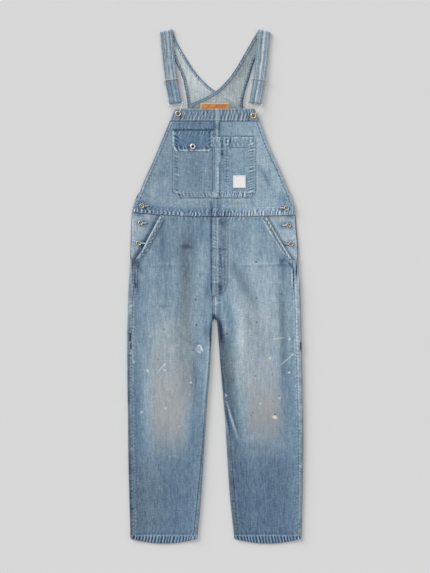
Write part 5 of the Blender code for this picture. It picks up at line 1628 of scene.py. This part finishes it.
def makeStrap(side):
    path = strapPath()
    marks = marksOf(path)
    at = evenSteps(0, marks[-1], 2.4)
    points = pathAt(path, marks, at)
    centreX, acrossX, acrossY = strapFrame(side, points[:, 0])
    t = np.linspace(0, 1, 29)
    offset = (t - 0.5) * strap["width"]
    x = centreX[:, None] + offset * acrossX[:, None]
    y = points[:, 0][:, None] + offset * acrossY[:, None]
    z = np.broadcast_to(points[:, 1][:, None], x.shape)
    along = at[:, None] + 0 * x
    edge = np.minimum(t, 1 - t)[None] * strap["width"] + 0 * x
    relief = pucker(edge - 5, along, 700 + side, pitch=9, reach=5, rise=0.0, tone=8)
    for row in strapStripes[side]:
        seed = 700 + int(row.share * 100)
        across = (t - row.share)[None] * strap["width"] + 0.9 * rope(along, seed, 60)
        relief += line(across, row.width, row.tone, 0, along, seed + 34, rough=0.2)
    relief[1] += 5 * rope(along, 791, 24)
    y = y - 7 * ramp(points[:, 0], 690, 767)[:, None] * (0.5 + side * offset / strap["width"])
    end = 1 - ramp(y, 606, 618)
    relief[1] -= (12 if side < 0 else 2) * end
    grey = 0.55 - (0.55 if side < 0 else 0.2) * end
    grid = np.stack([x, y, z], axis=-1)
    cloth("strap" + sides[side], grid, strapBase[side] + relief[1], "denimStrap",
          ["strap_" + sides[side].lower()], grey=grey, grow=0, wall=strap["thickness"])
    for inset in strap["rows"]:
        share = inset / strap["width"]
        row = grid[:, 0] * (1 - share) + grid[:, -1] * share
        slope = np.gradient(points, axis=0)
        slope /= np.linalg.norm(slope, axis=1, keepdims=True)
        lift = strap["thickness"] / 2 + 0.1
        row = row + np.stack([0 * at, slope[:, 1] * lift, -slope[:, 0] * lift], axis=1)
        stitchPath("straps", row[(at > 14) & (at < marks[-1] - 12)])


for which in (-1, 1):
    makeStrap(which)
print("straps made")

for name in ("buckle_left", "buckle_right", "slider_left", "slider_right"):
    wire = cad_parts[name]
    wire.data.materials.clear()
    wire.data.materials.append(finishes["steel"]["material"])

# Turned buttons, from the middle of the head down to the shank: radius, height and how bright; low
# values blend in the finish's deep colour, for a darker middle and for painted shade and grime in hollows.
Ring = namedtuple("Ring", "radius height bright")
bibHead = rowsOf(Ring,
    (0, 5.3, 0.1), (1.6, 5.2, 0.15), (2.6, 4.9, 0.3), (3.6, 5, 0.2), (4.4, 5.3, 0.1), (4.9, 5, 0),
    (5.6, 5.1, 0.7), (6.4, 5.6, 1), (7.4, 5.9, 1), (8.2, 5.6, 0.9), (8.5, 5.1, 0.6), (8.3, 4.2, 0.3),
    (3.4, 3.6, 0), (3.4, 0, 0), (0, 0, 0))
sideHead = rowsOf(Ring,
    (0, 3.1, 0.9), (1.2, 3, 0.8), (2, 2.6, 0.3), (2.8, 2.3, 0.1), (4, 2.3, 0.05), (4.7, 2.6, 0.4),
    (5.4, 3.2, 0.9), (6.2, 3.3, 1), (6.9, 2.9, 0.7), (7, 2.4, 0.5), (6.8, 1.7, 0.2), (3, 1.2, 0),
    (3, 0, 0), (0, 0, 0))
flapHead = rowsOf(Ring,
    (0, 0.5, 0), (3, 0.6, 0), (3.5, 0.9, 0.05), (3.7, 2.2, 0.2), (4.1, 3.2, 0.7), (4.6, 3.8, 1),
    (5.8, 3.9, 1), (7, 3.5, 0.9), (8, 3, 0.7), (8.3, 2.5, 0.5), (8.1, 1.7, 0.2), (3.2, 1.2, 0),
    (3.2, 0, 0), (0, 0, 0))
buttonSides = 40


def makeButton(name, head, x, y, z, look, node):
    turn = np.arange(buttonSides) / buttonSides * 2 * math.pi
    points, bright = [(x, y, z + head[0].height)], [head[0].bright]
    for ring in head[1:-1]:
        points += [(x + ring.radius * math.cos(a), y + ring.radius * math.sin(a), z + ring.height) for a in turn]
        bright += [ring.bright] * buttonSides
    points.append((x, y, z + head[-1].height))
    bright.append(head[-1].bright)
    last = len(points) - 1
    faces = []
    for k in range(buttonSides):
        following = (k + 1) % buttonSides
        faces.append((0, 1 + k, 1 + following))
        faces.append((last, last - buttonSides + following, last - buttonSides + k))
        for ring in range(len(head) - 3):
            a, b = 1 + ring * buttonSides + k, 1 + ring * buttonSides + following
            faces += [(a, a + buttonSides, b + buttonSides), (a, b + buttonSides, b)]
    piece = meshPiece(name, points, np.array(faces), look)
    stored = piece.data.attributes.new("tone", "FLOAT", "POINT")
    stored.data.foreach_set("value", np.array(bright, dtype=np.float32))
    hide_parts(node)


buttonhole = {
    "bars": ((8, 7.0), (12, 5.4), (16, 3.8)),  # how far from the button each bar of thread is, and its width
    "edges": ((5.0, 18), (-4.6, 24)),          # the slot's two edges: offset from its middle and reach
}

for which in (-1, 1):
    name = sides[which]
    x, y = bibButtons[which]
    seat = float(bibTop(np.array(x), np.array(y))) + layer + garment["gap"]
    makeButton("bibButton" + name, bibHead, x, y, seat, "brass", "bib_button_" + name.lower())
    for index, (x, y) in enumerate(sideButtons[which]):
        if index:
            under = lambda px, py: legTop(which, which * px, py) - facing["drop"]
        else:
            under = lambda px, py: bibFace(px, py - 8.0) + layer
        seat = float(under(np.array(x), np.array(y))) + garment["gap"]
        node = f"side_button_{name.lower()}_{index + 1}"
        makeButton(f"sideButton{name}{index + 1}", sideHead, x, y, seat, "copper", node)
        for start, wide in buttonhole["bars"]:
            barTack("buttonholes", raised(under, 0.9), x - which * (start + 2), y, 0, 4.6, wide)
        for row, reach in buttonhole["edges"]:
            ends = [(x - which * 6, y + row), (x - which * reach, y + 0.4 * row)]
            stitchOn("slots", raised(under, 0.7), ends, pitch=1.7, length=2.2, width=1.5)
x, y = flapButton
seat = float(bibTop(np.array(x), np.array(y))) + 2 * layer + garment["gap"]
makeButton("flapButton", flapHead, x, y, seat, "silver", "flap_button")
print("hardware finished")


def makeLegStitches(side):
    def onLeg(ys, place):  # points at a distance round the leg from the outer side, along it
        rows = []
        for y in ys:
            path = acrossLeg(side, y, legTop, 90)
            marks = marksOf(path)
            at = place(y, marks)
            out, z = pathAt(path, marks, np.array([at]))[0]
            start, stop = seamMarks(side, y, path, marks)
            spot = (np.array([value]) for value in (out, y, at - start, stop - at))
            relief = frontRelief(side, *spot)
            height = z + (relief[0][0] if at > start else 0.2) + 0.15
            rows.append((side * out, float(bowed(np.array([out]), y, side)[0]), height))
        return np.array(rows)

    ys = evenSteps(-753, 70, 8)
    for inset in (2.4, 8.2):
        stitchPath("sideSeams", onLeg(ys, lambda y, marks: legAt(side, "outerSeam", y) + inset))
    ys = evenSteps(-753, -100, 8)
    stitchPath("sideSeams", onLeg(ys, lambda y, marks: marks[-1] - legAt(side, "innerSeam", y) - 2.6))
    low = legs[side][0]
    out = evenSteps(low.inner + 3, low.outer - 2, 4)
    y = low.y + hemBand(side, out, low.y)[1] + 1
    z = legTop(side, out, y) + frontRelief(side, out, y, out * 0 + 60, out * 0 + 60)[0]
    stitchPath("hems", np.stack([side * out, bowed(out, y, side), z + 0.15], axis=1))


def onLegTop(x, y):
    side = 1 if np.mean(x) > 0 else -1
    return legTop(side, side * x, y) + 0.6


hipRows = [
    [(233.5, 62), (232.5, -16)], [(241.5, 56), (240.5, -16)], [(206, 72), (222, 66), (233, 48)],
    [(-234, 70), (-236, -10)],
]
for row in hipRows:
    stitchOn("hips", raised(onLegTop, -0.1), row)

# Bar tacks and the short dark or pale bars beside them: place, angle, length, width and thread.
tacks = [
    (-238.5, 4, 90, 15, 2.6, "tacks"), (-246.4, 56, 90, 20, 1.8, "tacks"),
    (238.5, 11, 0, 9, 2.6, "hips"), (234, 26, 60, 14, 2.6, "hips"),
    (-255, -152, 88, 26, 7, "tacks"), (-253, -180, 90, 20, 5, "tacks"), (256.5, -180, 90, 26, 6, "tacks"),
    (-131, 204, 28, 12, 3, "hips"), (124, 204, -30, 12, 3, "hips"), (7.5, -3, 90, 20, 3, "hips"),
    (-5, -46, 90, 11, 4, "hips"), (-5, -46, 0, 9, 3, "hips"),
]
for x, y, angle, length, width, group in tacks:
    barTack(group, onLegTop, x, y, angle, length, width)


for which in (-1, 1):
    makeLegStitches(which)

stitchGroups = [
    ("hips", "stitchesHips", "threadPale"), ("fly", "stitchesFly", "threadBlue"),
    ("bibEdge", "stitchesBibEdge", "threadNavy"), ("bibBand", "stitchesBibBand", "threadPale"),
    ("bibSeam", "stitchesBibSeam", "threadBlue"), ("waist", "stitchesWaist", "threadPale"),
    ("pockets", "stitchesPockets", "threadBlue"), ("pocketTacks", "pocketTacks", "threadPale"),
    ("flap", "stitchesFlap", "threadPale"), ("label", "stitchesLabel", "threadPale"),
    ("yokes", "stitchesYokes", "threadPale"), ("patch", "stitchesPatch", "threadPale"),
    ("straps", "stitchesStraps", "threadNavy"), ("sideSeams", "stitchesSideSeams", "threadBlue"),
    ("hems", "stitchesHems", "threadPale"), ("zigzag", "stitchesZigzag", "threadNavy"),
    ("buttonholes", "buttonholes", "threadWhite"), ("slots", "buttonholeSlots", "threadNavy"),
    ("tacks", "hipTacks", "threadNavy"),
]
for group, name, look in stitchGroups:
    makeStitches(group, name, look)
print("stitches made")

for which in (-1, 1):
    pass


stage = {
    "floor": (0.80, 0.80, 0.80), "size": 14.0, "sky": 0.605,
    "sun": 2.75, "sunHeight": 17.0, "sunFrom": 141.0, "sunSoftness": 30.0,
}
view = {
    "width": 430, "height": 573, "scale": 3.0, "centreX": -0.45, "centreY": -0.75,
    "lens": 100.0, "sensor": 36.0, "plane": 5.0,
}


def makeStage():
    half = stage["size"] / 2 / mm
    points = np.array([(-half, -half, 0), (half, -half, 0), (half, half, 0), (-half, half, 0)], float)
    mesh = bpy.data.meshes.new("floor")
    mesh.from_pydata([tuple(p * mm) for p in points], [], [(0, 1, 2, 3)])
    floor = bpy.data.objects.new("floor", mesh)
    bpy.context.scene.collection.objects.link(floor)
    finish = Finish("paper", {"Specular IOR Level": 0.0, "Roughness": 1.0})
    fibre = finish.noise(finish.stretch(60, 60, 60), detail=3)
    low = tuple(c * 0.99 for c in stage["floor"]) + (1.0,)
    finish.wear(finish.blend(fibre, low, stage["floor"] + (1.0,)))
    mesh.materials.append(finish.material)
    floor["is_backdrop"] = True

    world = bpy.data.worlds.new("studio")
    world.use_nodes = True
    world.node_tree.nodes["Background"].inputs["Color"].default_value = (1.0, 1.0, 1.0, 1.0)
    world.node_tree.nodes["Background"].inputs["Strength"].default_value = stage["sky"]
    bpy.context.scene.world = world

    lamp = bpy.data.lights.new("lamp", "SUN")
    lamp.energy = stage["sun"]
    lamp.angle = math.radians(stage["sunSoftness"])
    sun = bpy.data.objects.new("lamp", lamp)
    sun.rotation_euler = (math.radians(90 - stage["sunHeight"]), 0.0, math.radians(stage["sunFrom"] - 90 + 180))
    bpy.context.scene.collection.objects.link(sun)


def makeCamera():
    lens = bpy.data.cameras.new("camera")
    lens.lens = view["lens"]
    lens.sensor_width = view["sensor"]
    lens.clip_end = 100.0
    camera = bpy.data.objects.new("camera", lens)
    away = view["height"] * view["scale"] * view["lens"] / view["sensor"]
    camera.location = (view["centreX"] * mm, view["centreY"] * mm, (away + view["plane"]) * mm)
    bpy.context.scene.collection.objects.link(camera)
    bpy.context.scene.camera = camera


makeStage()
makeCamera()
bpy.context.scene.view_settings.view_transform = "Standard"
print("stage made")

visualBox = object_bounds()
{"cad": [list(corner) for corner in cadBox], "visual": [list(corner) for corner in visualBox]}
